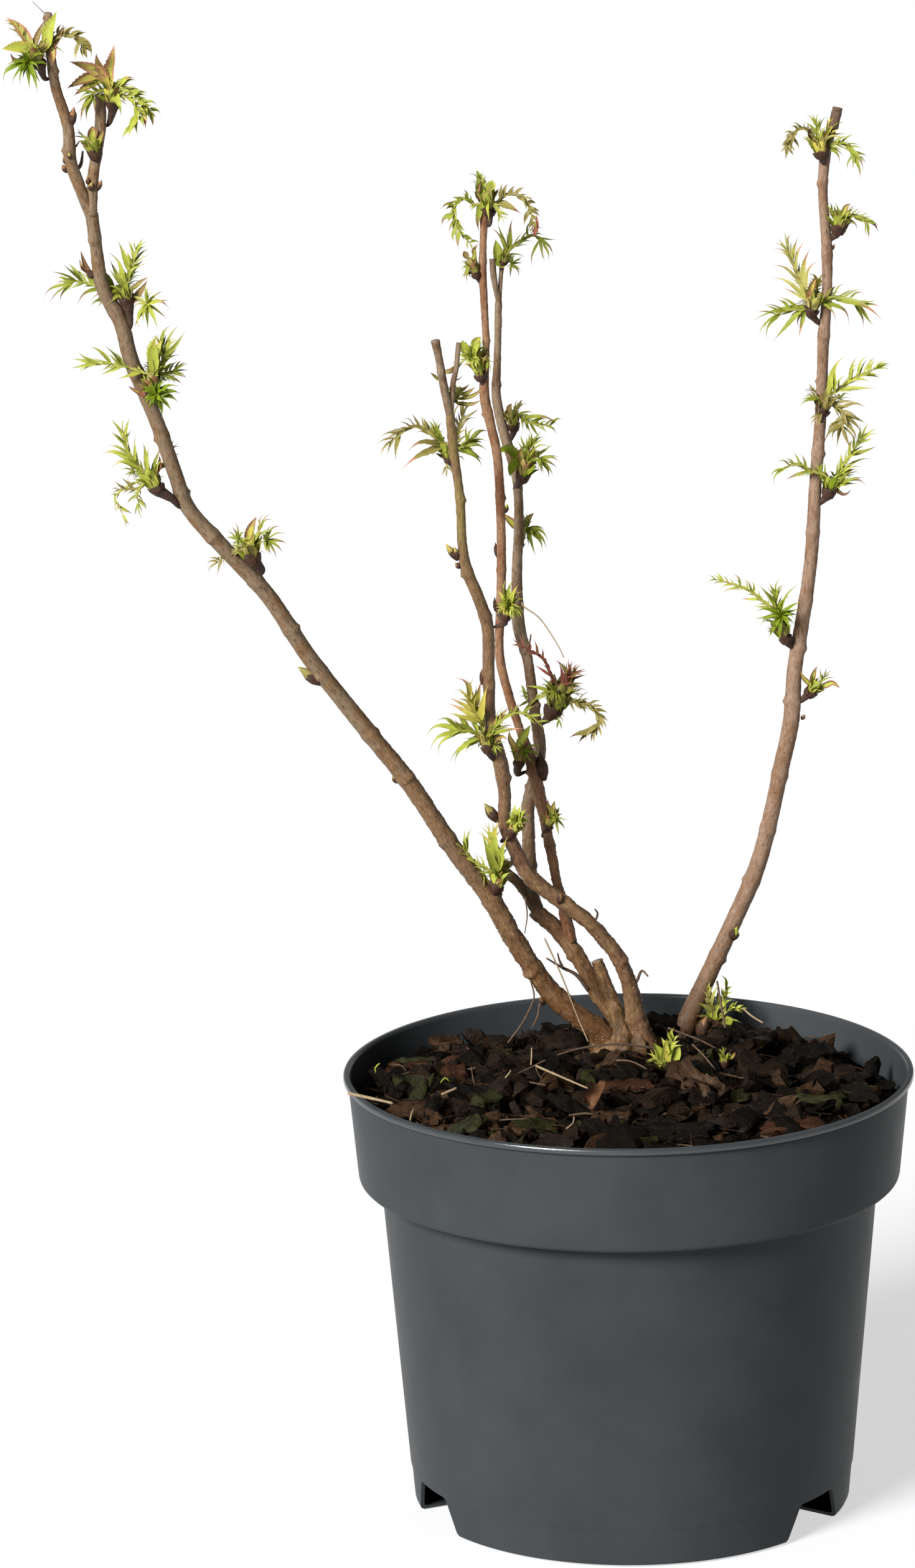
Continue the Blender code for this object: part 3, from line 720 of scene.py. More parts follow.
@dataclass
class Pot:
    """The round pot, turned from its section, with three channels under its floor."""

    rim_radius: float = 0.115
    height: float = POT_HEIGHT
    segments: int = 192
    channel_azimuths: tuple[float, ...] = (-64.0, 56.0, 176.0)
    channel_height: float = 0.0150
    channel_foot_width: float = 0.0370
    channel_roof_width: float = 0.0230
    channel_inner_end: float = 0.030

    def section(self) -> tuple[tuple[float, float], ...]:
        """The wall's section as (radius, z) in millimetres, from the floor inside to below."""
        return (
            (0.0, 1.5), (86.0, 1.5), (87.3, 2.2), (98.9, 137.0), (99.6, 137.7), (107.2, 137.7),
            (107.9, 138.2), (111.7, 178.2), (112.0, 179.3), (112.7, 180.0), (114.0, 180.0),
            (114.7, 179.6), (115.0, 178.9), (115.0, 178.2), (114.6, 177.7), (113.5, 177.4),
            (113.1, 177.0), (109.5, 138.4), (109.2, 137.3), (108.4, 136.5), (107.2, 136.2),
            (101.4, 136.2), (100.8, 135.9), (100.5, 135.2), (90.5, 15.9), (90.2, 15.3),
            (90.0, 14.9), (88.9, 1.8), (88.3, 0.5), (87.0, 0.0), (0.0, 0.0))

    def turn(self) -> bpy.types.Object:
        """Extrude the section point by point and spin it round the axis."""
        bpy.ops.mesh.primitive_plane_add(size=0.001)
        pot = bpy.context.active_object
        bpy.ops.object.mode_set(mode="EDIT")
        bpy.ops.mesh.select_all(action="SELECT")
        bpy.ops.mesh.merge(type="CENTER")
        places = [Vector((radius, 0.0, z)) * MM for radius, z in self.section()]
        bpy.ops.transform.translate(value=places[0])
        for before, after in zip(places, places[1:]):
            bpy.ops.mesh.extrude_region_move(TRANSFORM_OT_translate={"value": after - before})
        bpy.ops.mesh.select_all(action="SELECT")
        bpy.ops.mesh.spin(steps=self.segments, angle=2.0 * math.pi, center=(0.0, 0.0, 0.0),
                          axis=(0.0, 0.0, 1.0))
        bpy.ops.mesh.select_all(action="SELECT")
        bpy.ops.mesh.remove_doubles(threshold=1e-6)
        bpy.ops.mesh.normals_make_consistent(inside=False)
        bpy.ops.object.mode_set(mode="OBJECT")
        pot.name = "pot_shell"
        return pot

    def channel(self, azimuth: float) -> bpy.types.Object:
        """A bar of the channel's section, to cut it out of the foot.

        Args:
            azimuth: Its direction in degrees from -Y towards +X.

        Returns:
            The cutter.
        """
        deselect_all()
        bpy.ops.mesh.primitive_cube_add(size=1.0)
        bar = bpy.context.active_object
        slope = (self.channel_foot_width - self.channel_roof_width) / self.channel_height
        for vert in bar.data.vertices:
            z = self.channel_height if vert.co.z > 0.0 else -0.001
            width = self.channel_foot_width - slope * z
            inner = self.channel_inner_end + 0.5 * slope * max(z, 0.0)
            y = -0.1 if vert.co.y < 0.0 else -inner
            vert.co = Vector((math.copysign(0.5 * width, vert.co.x), y, z))
        bar.data.transform(Matrix.Rotation(math.radians(azimuth), 4, "Z"))
        edges = bar.modifiers.new("rounded", "BEVEL")
        edges.width = 0.002
        edges.segments = 4
        return bar

    def build(self) -> None:
        """Turn, cut and dress the pot."""
        pot = self.turn()
        for azimuth in self.channel_azimuths:
            bar = self.channel(azimuth)
            cut = pot.modifiers.new("channel", "BOOLEAN")
            cut.operation = "DIFFERENCE"
            cut.solver = "EXACT"
            cut.object = bar
            only(pot)
            bpy.ops.object.modifier_apply(modifier=cut.name)
            bpy.data.objects.remove(bar, do_unlink=True)
        only(pot)
        bpy.ops.object.shade_smooth_by_angle(angle=math.radians(32.0))
        pot.data.materials.clear()
        pot.data.materials.append(PotPlastic("pot_plastic").make())
        pot.data.materials.append(PotPlastic("pot_lip", 0.45, 0.20).make())
        for face in pot.data.polygons:
            if face.center.z > 0.1776 and math.hypot(*face.center.xy) > 0.1123:
                face.material_index = 1
        declare(pot, ("pot",))


# Mulch

class Chip(Enum):
    """The kinds of bark chip, numbered as the pieces number their finishes."""

    BLACK = 0
    DARK = 1
    BROWN = 2
    RED = 3
    OLIVE = 4
    SOIL = 5
    TAN = 6


@dataclass(frozen=True)
class Slab:
    """A chip that stands out: pixel, length and width in millimetres, turn and tilt in degrees."""

    x: float
    y: float
    length: float
    width: float
    turn: float
    kind: Chip
    tilt: float = 8.0
    thickness: float = 3.2


SLABS = (
    Slab(649, 1686, 19, 4.5, 4, Chip.OLIVE, 6, 4), Slab(655, 1697, 20, 6, 8, Chip.BROWN, 10, 4),
    Slab(657, 1737, 12, 13, 30, Chip.OLIVE, 6, 6), Slab(664, 1776, 22, 12, 14, Chip.BROWN, 16, 6),
    Slab(724, 1756, 18, 7, 18, Chip.BROWN, 10, 5), Slab(732, 1722, 12, 9, 4, Chip.RED, 12, 6),
    Slab(780, 1772, 13, 11, 40, Chip.OLIVE, 12, 7), Slab(740, 1698, 15, 6, 22, Chip.RED, 14, 4),
    Slab(780, 1806, 12, 10, 10, Chip.BROWN, 10, 5), Slab(724, 1804, 11, 7, -24, Chip.BROWN, 10, 4),
    Slab(834, 1808, 12, 8, -40, Chip.BROWN, 10, 4), Slab(700, 1664, 14, 9, 20, Chip.BROWN, 14, 6),
    Slab(795, 1692, 17, 6, 16, Chip.OLIVE, 10, 4), Slab(845, 1700, 22, 8, 8, Chip.DARK, 14, 5),
    Slab(800, 1728, 24, 8, 12, Chip.BLACK, 12, 5), Slab(604, 1752, 8, 7, 0, Chip.TAN, 10, 4),
    Slab(590, 1712, 14, 6, 50, Chip.OLIVE, 10, 4), Slab(620, 1700, 16, 7, 34, Chip.RED, 12, 4),
    Slab(905, 1672, 20, 12, 10, Chip.DARK, 14, 6), Slab(960, 1700, 18, 10, 40, Chip.DARK, 14, 5),
    Slab(1010, 1740, 24, 8, 12, Chip.RED, 12, 5), Slab(985, 1790, 18, 8, -12, Chip.BROWN, 12, 4),
    Slab(1112, 1710, 13, 9, -5, Chip.BROWN, 10, 8), Slab(1262, 1668, 15, 11, 30, Chip.DARK, 12, 8),
    Slab(1145, 1819, 13, 6, -62, Chip.BROWN, 10, 4), Slab(1090, 1822, 30, 12, 4, Chip.BLACK, 10, 6),
    Slab(1250, 1766, 15, 6, 16, Chip.TAN, 10, 4), Slab(1279, 1801, 30, 9, 12, Chip.RED, 10, 5),
    Slab(1200, 1800, 20, 12, 60, Chip.BLACK, 14, 8), Slab(1320, 1760, 22, 10, -8, Chip.OLIVE, 12, 6),
    Slab(1230, 1725, 20, 13, 10, Chip.DARK, 12, 8), Slab(1300, 1700, 22, 14, 15, Chip.BLACK, 12, 8),
    Slab(1215, 1682, 18, 12, -8, Chip.BLACK, 10, 9), Slab(1180, 1668, 20, 12, 20, Chip.BLACK, 10, 9),
    Slab(1066, 1652, 22, 10, -18, Chip.BLACK, 12, 9), Slab(1350, 1720, 20, 12, -30, Chip.DARK, 12, 6),
    Slab(1385, 1740, 16, 8, -40, Chip.BROWN, 10, 5), Slab(1060, 1780, 22, 12, 20, Chip.BLACK, 10, 6),
)


@dataclass(frozen=True)
class DeadLeaf:
    """A curled dead leaf: (x, y, height in mm over the mulch) along it, width in mm, finish."""

    bends: Bends
    width: float
    fold: float
    finish: int


DEAD_LEAVES = (
    DeadLeaf(((957, 1742, 5), (958, 1754, 8), (952, 1768, 7), (948, 1783, 2)), 9.0, 0.7, 0),
    DeadLeaf(((1099, 1738, 6), (1108, 1733, 10), (1120, 1740, 9), (1128, 1758, 7),
              (1136, 1774, 3)), 6.5, 0.9, 1),
    DeadLeaf(((1112, 1736, 7), (1126, 1738, 10), (1146, 1744, 9), (1156, 1754, 6),
              (1150, 1764, 3)), 6.5, 0.8, 1),
)


@dataclass
class Mulch:
    """The wet bark mulch: an uneven bed, with crumbs and chips of many sizes lying on it."""

    radius: float = 0.1080
    top: float = 0.174
    edge_drop: float = 0.004
    chip_count: int = 620
    crumb_count: int = 2600
    fibre_count: int = 260
    chance: random.Random = field(default_factory=lambda: random.Random(SEED))

    finishes: tuple[Mottled, ...] = (
        Mottled("chip_black", (0.0004, 0.0003, 0.0002), (0.0064, 0.0042, 0.0021), 420.0, 0.30,
                0.0014, 0.07, 0.55),
        Mottled("chip_dark", (0.0016, 0.001, 0.0006), (0.0175, 0.0100, 0.0050), 420.0, 0.40,
                0.0010, 0.08, 0.45),
        Mottled("chip_brown", (0.0056, 0.0028, 0.0014), (0.056, 0.0290, 0.0140), 420.0, 0.50,
                0.0010, 0.08, 0.40),
        Mottled("chip_red", (0.0072, 0.0028, 0.0014), (0.056, 0.0225, 0.0105), 420.0, 0.50,
                0.0010, 0.08, 0.40),
        Mottled("chip_olive", (0.0050, 0.0036, 0.0018), (0.0230, 0.0250, 0.0060), 300.0, 0.55,
                0.0010, 0.10, 0.45),
        Mottled("crumb_soil", (0.0004, 0.0003, 0.0002), (0.0052, 0.0034, 0.0017), 480.0, 0.70,
                0.0016, 0.06),
        Mottled("chip_tan", (0.032, 0.0192, 0.0104), (0.136, 0.088, 0.0512), 420.0, 0.60,
                0.0010, 0.15, 0.20),
    )
    dead_leaf: tuple[Mottled, ...] = (
        Mottled("dead_leaf_orange", (0.048, 0.0176, 0.0072), (0.150, 0.070, 0.0304), 380.0, 0.6,
                0.0006, 0.15),
        Mottled("dead_leaf_grey", (0.016, 0.0082, 0.0042), (0.078, 0.046, 0.025), 380.0, 0.6,
                0.0006, 0.15),
    )

    def height_at(self, x: float, y: float) -> float:
        """The bed's height under a place, in metres."""
        distance = math.hypot(x, y)
        ease = min(max((distance - 0.070) / 0.036, 0.0), 1.0)
        rough = noise.noise(Vector((x, y, 0.0)) * 60.0) * 0.0016
        return self.top - 0.0050 - self.edge_drop * ease * ease + rough

    def bed(self) -> MeshBuilder:
        """The bed's lumpy surface and the block of mix under it."""
        made = MeshBuilder()
        soil = Chip.SOIL.value
        rings, around = 44, 128
        top = made.corner(Vector((0.0, 0.0, self.height_at(0.0, 0.0))))
        before: list[int] = []
        for ring in range(1, rings + 1):
            radius = self.radius * 1.018 * ring / rings
            row = []
            for i in range(around):
                turn = 2.0 * math.pi * i / around
                x, y = radius * math.cos(turn), radius * math.sin(turn)
                row.append(made.corner(Vector((x, y, self.height_at(x, y)))))
            if before:
                made.band(row, before, soil)
            else:
                for i in range(around):
                    made.face((top, row[i], row[(i + 1) % around]), soil)
            before = row
        for radius, z in ((0.1072, 0.1395), (0.0982, 0.1385), (0.0864, 0.0190)):
            row = []
            for i in range(around):
                turn = 2.0 * math.pi * i / around
                row.append(made.corner(Vector((radius * math.cos(turn), radius * math.sin(turn), z))))
            made.band(row, before, soil)
            before = row
        made.face(tuple(reversed(before)), soil)
        return made

    def chip(self, made: MeshBuilder, place: Vector, size: Vector, turn: Matrix, finish: int,
             stations: int = 6, around: int = 8) -> None:
        """Add one split chip of bark, with ridges along its length and broken ends.

        Args:
            made: The piece that it joins.
            place: Its middle.
            size: Its half-sizes.
            turn: Its rotation.
            finish: The number of its finish.
            stations: The rings of corners along it.
            around: The corners of each ring.
        """
        ridges = [self.chance.uniform(0.68, 1.16) for _ in range(around)]
        bend = self.chance.uniform(-0.35, 0.35)
        shift = Vector([self.chance.uniform(-1.0, 1.0) for _ in range(3)])
        before: list[int] = []
        for station in range(stations):
            share = 2.0 * station / (stations - 1) - 1.0
            broken = station in (0, stations - 1)
            width = (0.60 if broken else 1.0) * self.chance.uniform(0.76, 1.14)
            stray = 0.26 if broken else 0.06
            ring = []
            for i, ridge in enumerate(ridges):
                angle = 2.0 * math.pi * (i + 0.5) / around
                far = ridge * width * self.chance.uniform(0.84, 1.14)
                x = share * 0.9 + self.chance.uniform(-stray, stray)
                y = math.copysign(abs(math.cos(angle)) ** 0.6, math.cos(angle)) * far
                z = math.copysign(abs(math.sin(angle)) ** 0.6, math.sin(angle)) * far
                local = Vector((x * size.x, y * size.y, z * size.z + bend * share ** 2 * size.y))
                ring.append(made.corner(place + turn @ local, local.yzx + shift))
            if before:
                made.band(before, ring, finish)
            else:
                made.face(tuple(reversed(ring)), finish)
            before = ring
        made.face(tuple(before), finish)

    def scatter(self, made: MeshBuilder, count: int, low: float, high: float,
                kinds: tuple[Chip, ...], black_kinds: tuple[Chip, ...]) -> None:
        """Scatter chips over the bed, blacker ones towards the right.

        Args:
            made: The piece that they join.
            count: How many.
            low: The smallest half-length.
            high: The largest.
            kinds: The kinds to choose from on the left.
            black_kinds: The kinds to choose from on the right.
        """
        for _ in range(count):
            length = low + (high - low) * self.chance.random() ** 1.8
            distance = (self.radius - length) * math.sqrt(self.chance.random())
            turn = self.chance.uniform(0.0, 2.0 * math.pi)
            x, y = distance * math.cos(turn), distance * math.sin(turn)
            size = Vector((length, length * self.chance.uniform(0.25, 0.75),
                           length * self.chance.uniform(0.12, 0.45)))
            tilt = Matrix.Rotation(self.chance.gauss(0.0, 0.75), 3, "X")
            tilt = Matrix.Rotation(self.chance.gauss(0.0, 0.45), 3, "Y") @ tilt
            tilt = Matrix.Rotation(self.chance.uniform(0.0, 6.28), 3, "Z") @ tilt
            z = self.height_at(x, y) + size.z * self.chance.uniform(0.2, 1.7)
            right = x + self.chance.uniform(-0.06, 0.06) > 0.0
            kind = self.chance.choice(black_kinds if right else kinds)
            self.chip(made, Vector((x, y, z)), size, tilt, kind.value)

    def fibres(self, made: MeshBuilder) -> None:
        """Add the torn fibres and fine twigs that lie on the chips.

        Args:
            made: The piece that they join.
        """
        for _ in range(self.fibre_count):
            distance = 0.97 * self.radius * math.sqrt(self.chance.random())
            turn = self.chance.uniform(0.0, 2.0 * math.pi)
            x, y = distance * math.cos(turn), distance * math.sin(turn)
            middle = Vector((x, y, self.height_at(x, y) + self.chance.uniform(0.002, 0.006)))
            turn = self.chance.uniform(0.0, 2.0 * math.pi)
            way = Vector((math.cos(turn), math.sin(turn), self.chance.gauss(0.0, 0.25)))
            reach = way * self.chance.uniform(0.003, 0.009)
            bow = Vector((-way.y, way.x, 0.4)) * self.chance.uniform(-0.002, 0.002)
            if math.hypot(middle.x + reach.x, middle.y + reach.y) > self.radius:
                reach = reach * -0.3
            line = smooth_line([middle - reach, middle + bow, middle + reach], 0.0012)
            kind = self.chance.choice((Chip.DARK, Chip.BROWN, Chip.BROWN, Chip.RED, Chip.TAN))
            radius = self.chance.uniform(0.00015, 0.00040)
            made.tube(line, [radius] * len(line), 5, kind.value)

    def slabs(self) -> MeshBuilder:
        """The large chips that stand out, each where it is seen."""
        made = MeshBuilder()
        for slab in SLABS:
            place = SIGHT.onto(slab.x, slab.y, self.top)
            room = self.radius - 0.5 * slab.length * MM
            away = math.hypot(place.x, place.y)
            if away > room:
                place = Vector((place.x * room / away, place.y * room / away, place.z))
            size = Vector((slab.length, slab.width, slab.thickness)) * (0.5 * MM)
            turn = (Matrix.Rotation(math.radians(slab.turn), 3, "Z")
                    @ Matrix.Rotation(math.radians(slab.tilt), 3, "X"))
            place.z = self.height_at(place.x, place.y) + size.z * 1.1 + 0.0010
            self.chip(made, place, size, turn, slab.kind.value, 11, 12)
        return made

    def dead_leaves(self) -> MeshBuilder:
        """The curled dead leaves on the mulch."""
        made = MeshBuilder()
        for leaf in DEAD_LEAVES:
            bends = [SIGHT.onto(x, y, self.top - 0.002 + rise * MM) for x, y, rise in leaf.bends]
            spine = even_line(smooth_line(bends, 0.0006), 14)
            style = LaminaStyle(0.5, 0.5, 0.10, leaf.fold, 0.10, 0.5, 3)
            face = TOWARDS_VIEWER * 0.6 + UPWARDS
            made.lamina(spine, face, 0.5 * leaf.width * MM, style, (leaf.finish,) * 3)
        return made

    def build(self) -> None:
        """Lay the bed, the crumbs, the chips and the dead leaves."""
        materials = [finish.make() for finish in self.finishes]
        black, dark, brown, red = Chip.BLACK, Chip.DARK, Chip.BROWN, Chip.RED
        olive, soil, tan = Chip.OLIVE, Chip.SOIL, Chip.TAN
        kinds = (black, black, black, black, dark, dark, dark, brown, olive)
        black_kinds = (black, black, black, black, black, black, dark, dark, brown)
        declare(self.bed().piece("mulch_bed", materials), ("potting_mix",))
        crumbs = MeshBuilder()
        self.scatter(crumbs, self.crumb_count, 0.0006, 0.0030, (*kinds, soil, soil, tan),
                     (*black_kinds, soil, soil, red))
        declare(crumbs.piece("mulch_crumbs", materials, smooth=False))
        chips = MeshBuilder()
        self.scatter(chips, self.chip_count, 0.0030, 0.0120, kinds, black_kinds)
        self.fibres(chips)
        declare(chips.piece("mulch_chips", materials, smooth=False))
        declare(self.slabs().piece("mulch_slabs", materials))
        dry = [finish.make() for finish in self.dead_leaf]
        declare(self.dead_leaves().piece("mulch_dead_leaves", dry))


# Wood

@dataclass(frozen=True)
class Limb:
    """A stem: its bends from foot to tip as (x, y, z, radius) in millimetres."""

    name: str
    bark: int
    bends: Bends


LIMBS = (
    Limb("stem_left", 0, (
        (-2, 51, 170, 5.4), (-13.5, 48, 183.5, 4.6), (-22.5, 46, 190.5, 4.4), (-34.5, 44, 204, 4.1),
        (-45.5, 41, 222.5, 4.0), (-56.5, 38, 243, 3.9), (-70.5, 34, 264, 3.7),
        (-86.5, 29, 291, 3.6), (-106, 23, 318.5, 3.4), (-125.5, 16, 346.5, 3.3),
        (-141.5, 9, 374, 3.2), (-158.5, 3, 395, 3.1), (-171.5, -1, 411.5, 3.0),
        (-176.5, -5, 427, 2.9), (-182.5, -9, 447.5, 2.9), (-191.5, -14, 473, 3.0),
        (-195, -16, 488.5, 3.0), (-201.5, -19, 503, 2.8), (-203.5, -22, 520, 2.4),
        (-205, -25, 537.5, 2.7))),
    Limb("stem_left_tip_1", 0, (
        (-205, -24, 532, 2.2), (-209, -26, 544, 2.3), (-212, -27, 554, 2.4),
        (-212.5, -28, 567, 2.2), (-216.5, -30, 582.5, 2.0), (-218, -31, 596, 1.8),
        (-218.5, -32, 610.5, 1.8))),
    Limb("stem_left_tip_2", 0, (
        (-204.5, -25, 532, 2.0), (-203.5, -24, 548, 2.2), (-201.5, -22, 558.5, 2.0),
        (-200.5, -20, 567, 2.2), (-200.5, -18, 578, 2.0))),
    Limb("stem_right", 5, (
        (21.5, 79, 170, 4.6), (27, 81, 182, 4.1), (34.5, 84, 197.5, 3.6),
        (44.5, 86, 218.5, 3.5), (53.5, 88, 239, 3.5), (59.5, 89, 260, 3.3), (64, 90, 281, 3.3),
        (68.5, 91, 302, 3.4), (70, 92, 322.5, 3.1), (72, 93, 335.5, 3.1), (75, 94, 353.5, 2.8),
        (77.5, 95, 374.5, 2.7), (79, 97, 400, 2.6), (81, 98, 425.5, 2.4), (82, 99, 446, 2.2),
        (82.5, 100, 460, 2.4), (84, 102, 479, 2.1), (84, 103, 498, 2.2), (82.5, 104, 519.5, 1.9),
        (83.5, 105, 534, 2.2), (86, 105, 543.5, 1.5), (88.5, 106, 554, 1.7))),
    Limb("stem_front", 4, (
        (9, 50, 170, 5.0), (3.5, 48, 188, 4.0), (1, 46, 201.5, 3.2), (-3.5, 44, 214, 3.0),
        (-9, 43, 222, 3.0), (-17, 41, 231.5, 3.0), (-30, 40, 242, 3.1), (-39.5, 38, 250.5, 3.2),
        (-45, 37, 261.5, 2.9), (-49, 35, 273, 2.7), (-49, 33, 286.5, 2.6), (-50.5, 31, 300, 3.0),
        (-54, 28, 316, 2.4), (-54.5, 24, 339, 2.4), (-54.5, 20, 357.5, 2.5), (-58, 16, 371, 2.4),
        (-62.5, 14, 383, 2.3), (-64, 11, 395, 1.9), (-64.5, 8, 413, 1.8), (-66.5, 4, 432.5, 1.8),
        (-68, 0, 451.5, 1.9))),
    Limb("stem_front_tip_1", 1, (
        (-67.5, 1, 446, 1.5), (-70, -1, 460, 1.6), (-71.5, -2, 470, 1.5), (-73, -3, 478, 1.8))),
    Limb("stem_front_tip_2", 1, (
        (-67.5, 1, 446, 1.0), (-66.5, 1, 459, 1.1), (-65, 2, 466.5, 1.0), (-64, 4, 476, 1.0))),
    Limb("stem_back", 0, (
        (4, 55, 171, 4.8), (-6.5, 58, 187, 3.6), (-12, 59, 194.5, 3.3), (-19.5, 60, 209, 3.3),
        (-27.5, 61, 220.5, 3.3), (-33, 61, 226, 3.4), (-38, 61, 230.5, 3.2))),
    Limb("stem_grey", 1, (
        (-35, 61, 227, 2.4), (-39, 61, 236.5, 3.2), (-39.5, 62, 246.5, 2.9),
        (-40, 63, 259.5, 2.7), (-40, 65, 273.5, 2.7), (-37, 67, 285, 2.6), (-35, 67, 298, 2.6),
        (-37, 68, 313.5, 2.2), (-39.5, 69, 334, 2.1), (-43, 71, 348, 2.6), (-43.5, 74, 367, 2.2),
        (-42.5, 75, 387.5, 2.0), (-42.5, 76, 400, 1.9), (-43.5, 78, 410.5, 2.1),
        (-48, 80, 426, 2.1), (-51, 82, 440.5, 1.9), (-50.5, 84, 455, 1.5), (-50, 86, 470, 1.4),
        (-49.5, 87, 483, 1.6))),
    Limb("stem_grey_tip_1", 1, (
        (-49.5, 87, 478, 1.0), (-51.5, 87, 489, 1.3), (-52, 88, 496.5, 1.3))),
    Limb("stem_grey_tip_2", 1, (
        (-49.5, 87, 478, 0.9), (-48.5, 89, 490, 0.9), (-47.5, 91, 497, 1.2))),
    Limb("stem_red", 2, (
        (-23, 60, 217, 2.4), (-25, 59, 227.5, 2.4), (-28, 57, 241, 2.0), (-30.5, 55, 255, 2.0),
        (-33, 54, 269.5, 2.1), (-36, 54, 284, 2.7), (-39, 55, 297, 2.3), (-43, 55, 308.5, 1.7),
        (-47, 56, 321.5, 1.8), (-50.5, 57, 337, 1.8), (-50.5, 58, 352, 1.7),
        (-49.5, 59, 372.5, 1.9), (-49.5, 60, 395.5, 1.8), (-50.5, 61, 419.5, 1.9),
        (-53.5, 62, 434.5, 1.9), (-55.5, 62, 446, 2.0), (-54.5, 63, 464, 1.4),
        (-55, 64, 481.5, 1.5), (-55.5, 65, 494, 1.6), (-55, 66, 509, 1.4),
        (-54.5, 67, 518.5, 1.9))),
    Limb("stub_broken", 3, (
        (-1.5, 50, 182, 3.4), (-8.5, 53, 199, 2.9), (-12.5, 54, 210.5, 2.4))),
    Limb("stub_dead", 1, (
        (-37, 60, 230, 2.0), (-42.5, 60, 240, 2.2), (-48, 58, 246, 2.0), (-53, 57, 250, 1.6))),
)

BARKS = (
    Bark("bark_brown", (0.100, 0.0460, 0.0180), (0.150, 0.103, 0.0620), (0.140, 0.0780, 0.0370),
         (0.0290, 0.0150, 0.0078), (0.283, 0.209, 0.133)),
    Bark("bark_grey", (0.0901, 0.0485, 0.0237), (0.151, 0.105, 0.0651), (0.103, 0.0585, 0.0296),
         (0.0361, 0.0217, 0.0126), (0.275, 0.209, 0.137)),
    Bark("bark_red", (0.116, 0.0544, 0.0252), (0.180, 0.0962, 0.0503), (0.137, 0.0585, 0.0266),
         (0.0412, 0.0167, 0.0081), (0.300, 0.201, 0.122)),
    Bark("bark_crown", (0.064, 0.034, 0.014), (0.064, 0.034, 0.014), (0.135, 0.076, 0.032),
         (0.014, 0.008, 0.004), (0.240, 0.160, 0.085)),
    Bark("bark_gold", (0.120, 0.062, 0.034), (0.150, 0.105, 0.036), (0.135, 0.078, 0.038),
         (0.036, 0.022, 0.010), (0.270, 0.210, 0.110), 0.36, 0.46),
    Bark("bark_smooth", (0.104, 0.052, 0.022), (0.188, 0.120, 0.079), (0.150, 0.083, 0.047),
         (0.050, 0.029, 0.016), (0.330, 0.250, 0.180), 0.16, 0.40),
)


@dataclass(frozen=True)
class Twig:
    """A thin dead twig, straw or stalk: pixels along it, depths in mm, radii in mm, finish."""

    path: Numbers
    depth: tuple[float, float]
    radius: tuple[float, float]
    finish: int = 0


TWIGS = (
    Twig((945, 1591, 926, 1567, 905, 1556, 893, 1549, 878, 1540), (50, 40), (0.9, 0.35)),
    Twig((905, 1556, 899, 1544, 896, 1532), (44, 40), (0.55, 0.3)),
    Twig((1012, 1592, 1023, 1577, 1031, 1560, 1041, 1569), (48, 40), (0.8, 0.35)),
    Twig((948, 1484, 957, 1478, 960, 1467, 955, 1461), (43, 38), (0.6, 0.3)),
    Twig((838, 968, 843, 976, 868, 995, 895, 1035, 906, 1057), (18, 12), (0.35, 0.2), 1),
    Twig((560, 1757, 592, 1764, 631, 1773), (-60, -66), (0.7, 0.5), 1),
    Twig((861, 1713, 900, 1730, 944, 1749), (-20, -40), (0.5, 0.35), 1),
    Twig((1152, 1577, 1163, 1640, 1172, 1690, 1180, 1719), (80, 40), (0.45, 0.5)),
    Twig((1073, 1652, 1125, 1672, 1160, 1690, 1194, 1703), (40, 44), (0.45, 0.35)),
    Twig((1112, 1678, 1132, 1698, 1150, 1720), (30, 20), (0.4, 0.35)),
    Twig((1193, 1620, 1208, 1633, 1226, 1644), (70, 62), (0.45, 0.35), 1),
    Twig((1054, 1685, 995, 1678, 933, 1685, 890, 1698, 854, 1715, 829, 1727), (40, 4),
         (0.5, 0.35)),
    Twig((829, 1727, 848, 1738, 876, 1744), (4, -12), (0.35, 0.3)),
    Twig((875, 1508, 903, 1570, 926, 1630, 945, 1674), (36, 30), (0.35, 0.3), 1),
    Twig((843, 1441, 847, 1470, 843, 1500), (38, 34), (0.35, 0.2)),
    Twig((852, 1575, 858, 1598, 854, 1615, 838, 1646, 816, 1676), (40, 32), (0.35, 0.4)),
    Twig((867, 1612, 864, 1632, 855, 1652), (36, 34), (0.5, 0.3)),
    Twig((76, 32, 77, 26, 78, 20), (-31, -31), (2.0, 1.4), 2),
    Twig((709, 1759, 721, 1754, 733, 1749), (-40, -37), (0.45, 0.6), 1),
    Twig((659, 1801, 661, 1790, 665, 1782), (-62, -58), (0.35, 0.3), 1),
    Twig((812, 1732, 817, 1726, 821, 1720), (-12, -10), (0.35, 0.3), 1),
    Twig((853, 1712, 854, 1698, 854, 1684), (-4, 0), (0.35, 0.3), 1),
    Twig((910, 1814, 921, 1804, 922, 1794), (-88, -84), (0.3, 0.25), 1),
    Twig((990, 1704, 1015, 1706, 1039, 1718), (0, -8), (0.4, 0.3)),
    Twig((77, 26, 66, 16, 52, 2), (-31, -31), (0.2, 0.08)),
    Twig((604, 1724, 603, 1716, 610, 1709), (-30, -30), (0.25, 0.35), 3),
    Twig((708, 1740, 715, 1732, 722, 1738), (-36, -36), (0.25, 0.3), 3),
    Twig((122, 274, 130, 264, 133, 243), (-20, -22), (1.0, 0.4)),
    Twig((116, 240, 122, 235, 127, 228), (-23, -24), (0.6, 0.2)),
    Twig((139, 312, 143, 305, 145, 298), (-24, -26), (1.3, 1.1), 2),
    Twig((150, 272, 153, 268, 156, 262), (-20, -24), (1.0, 0.8), 2),
    Twig((843, 1052, 850, 1037, 853, 1020), (60, 58), (0.5, 0.3)),
    Twig((812, 1004, 806, 995, 799, 985), (20, 18), (1.2, 0.8)),
    Twig((1338, 206, 1342, 190, 1346, 173), (103, 103), (2.2, 2.1)),
)


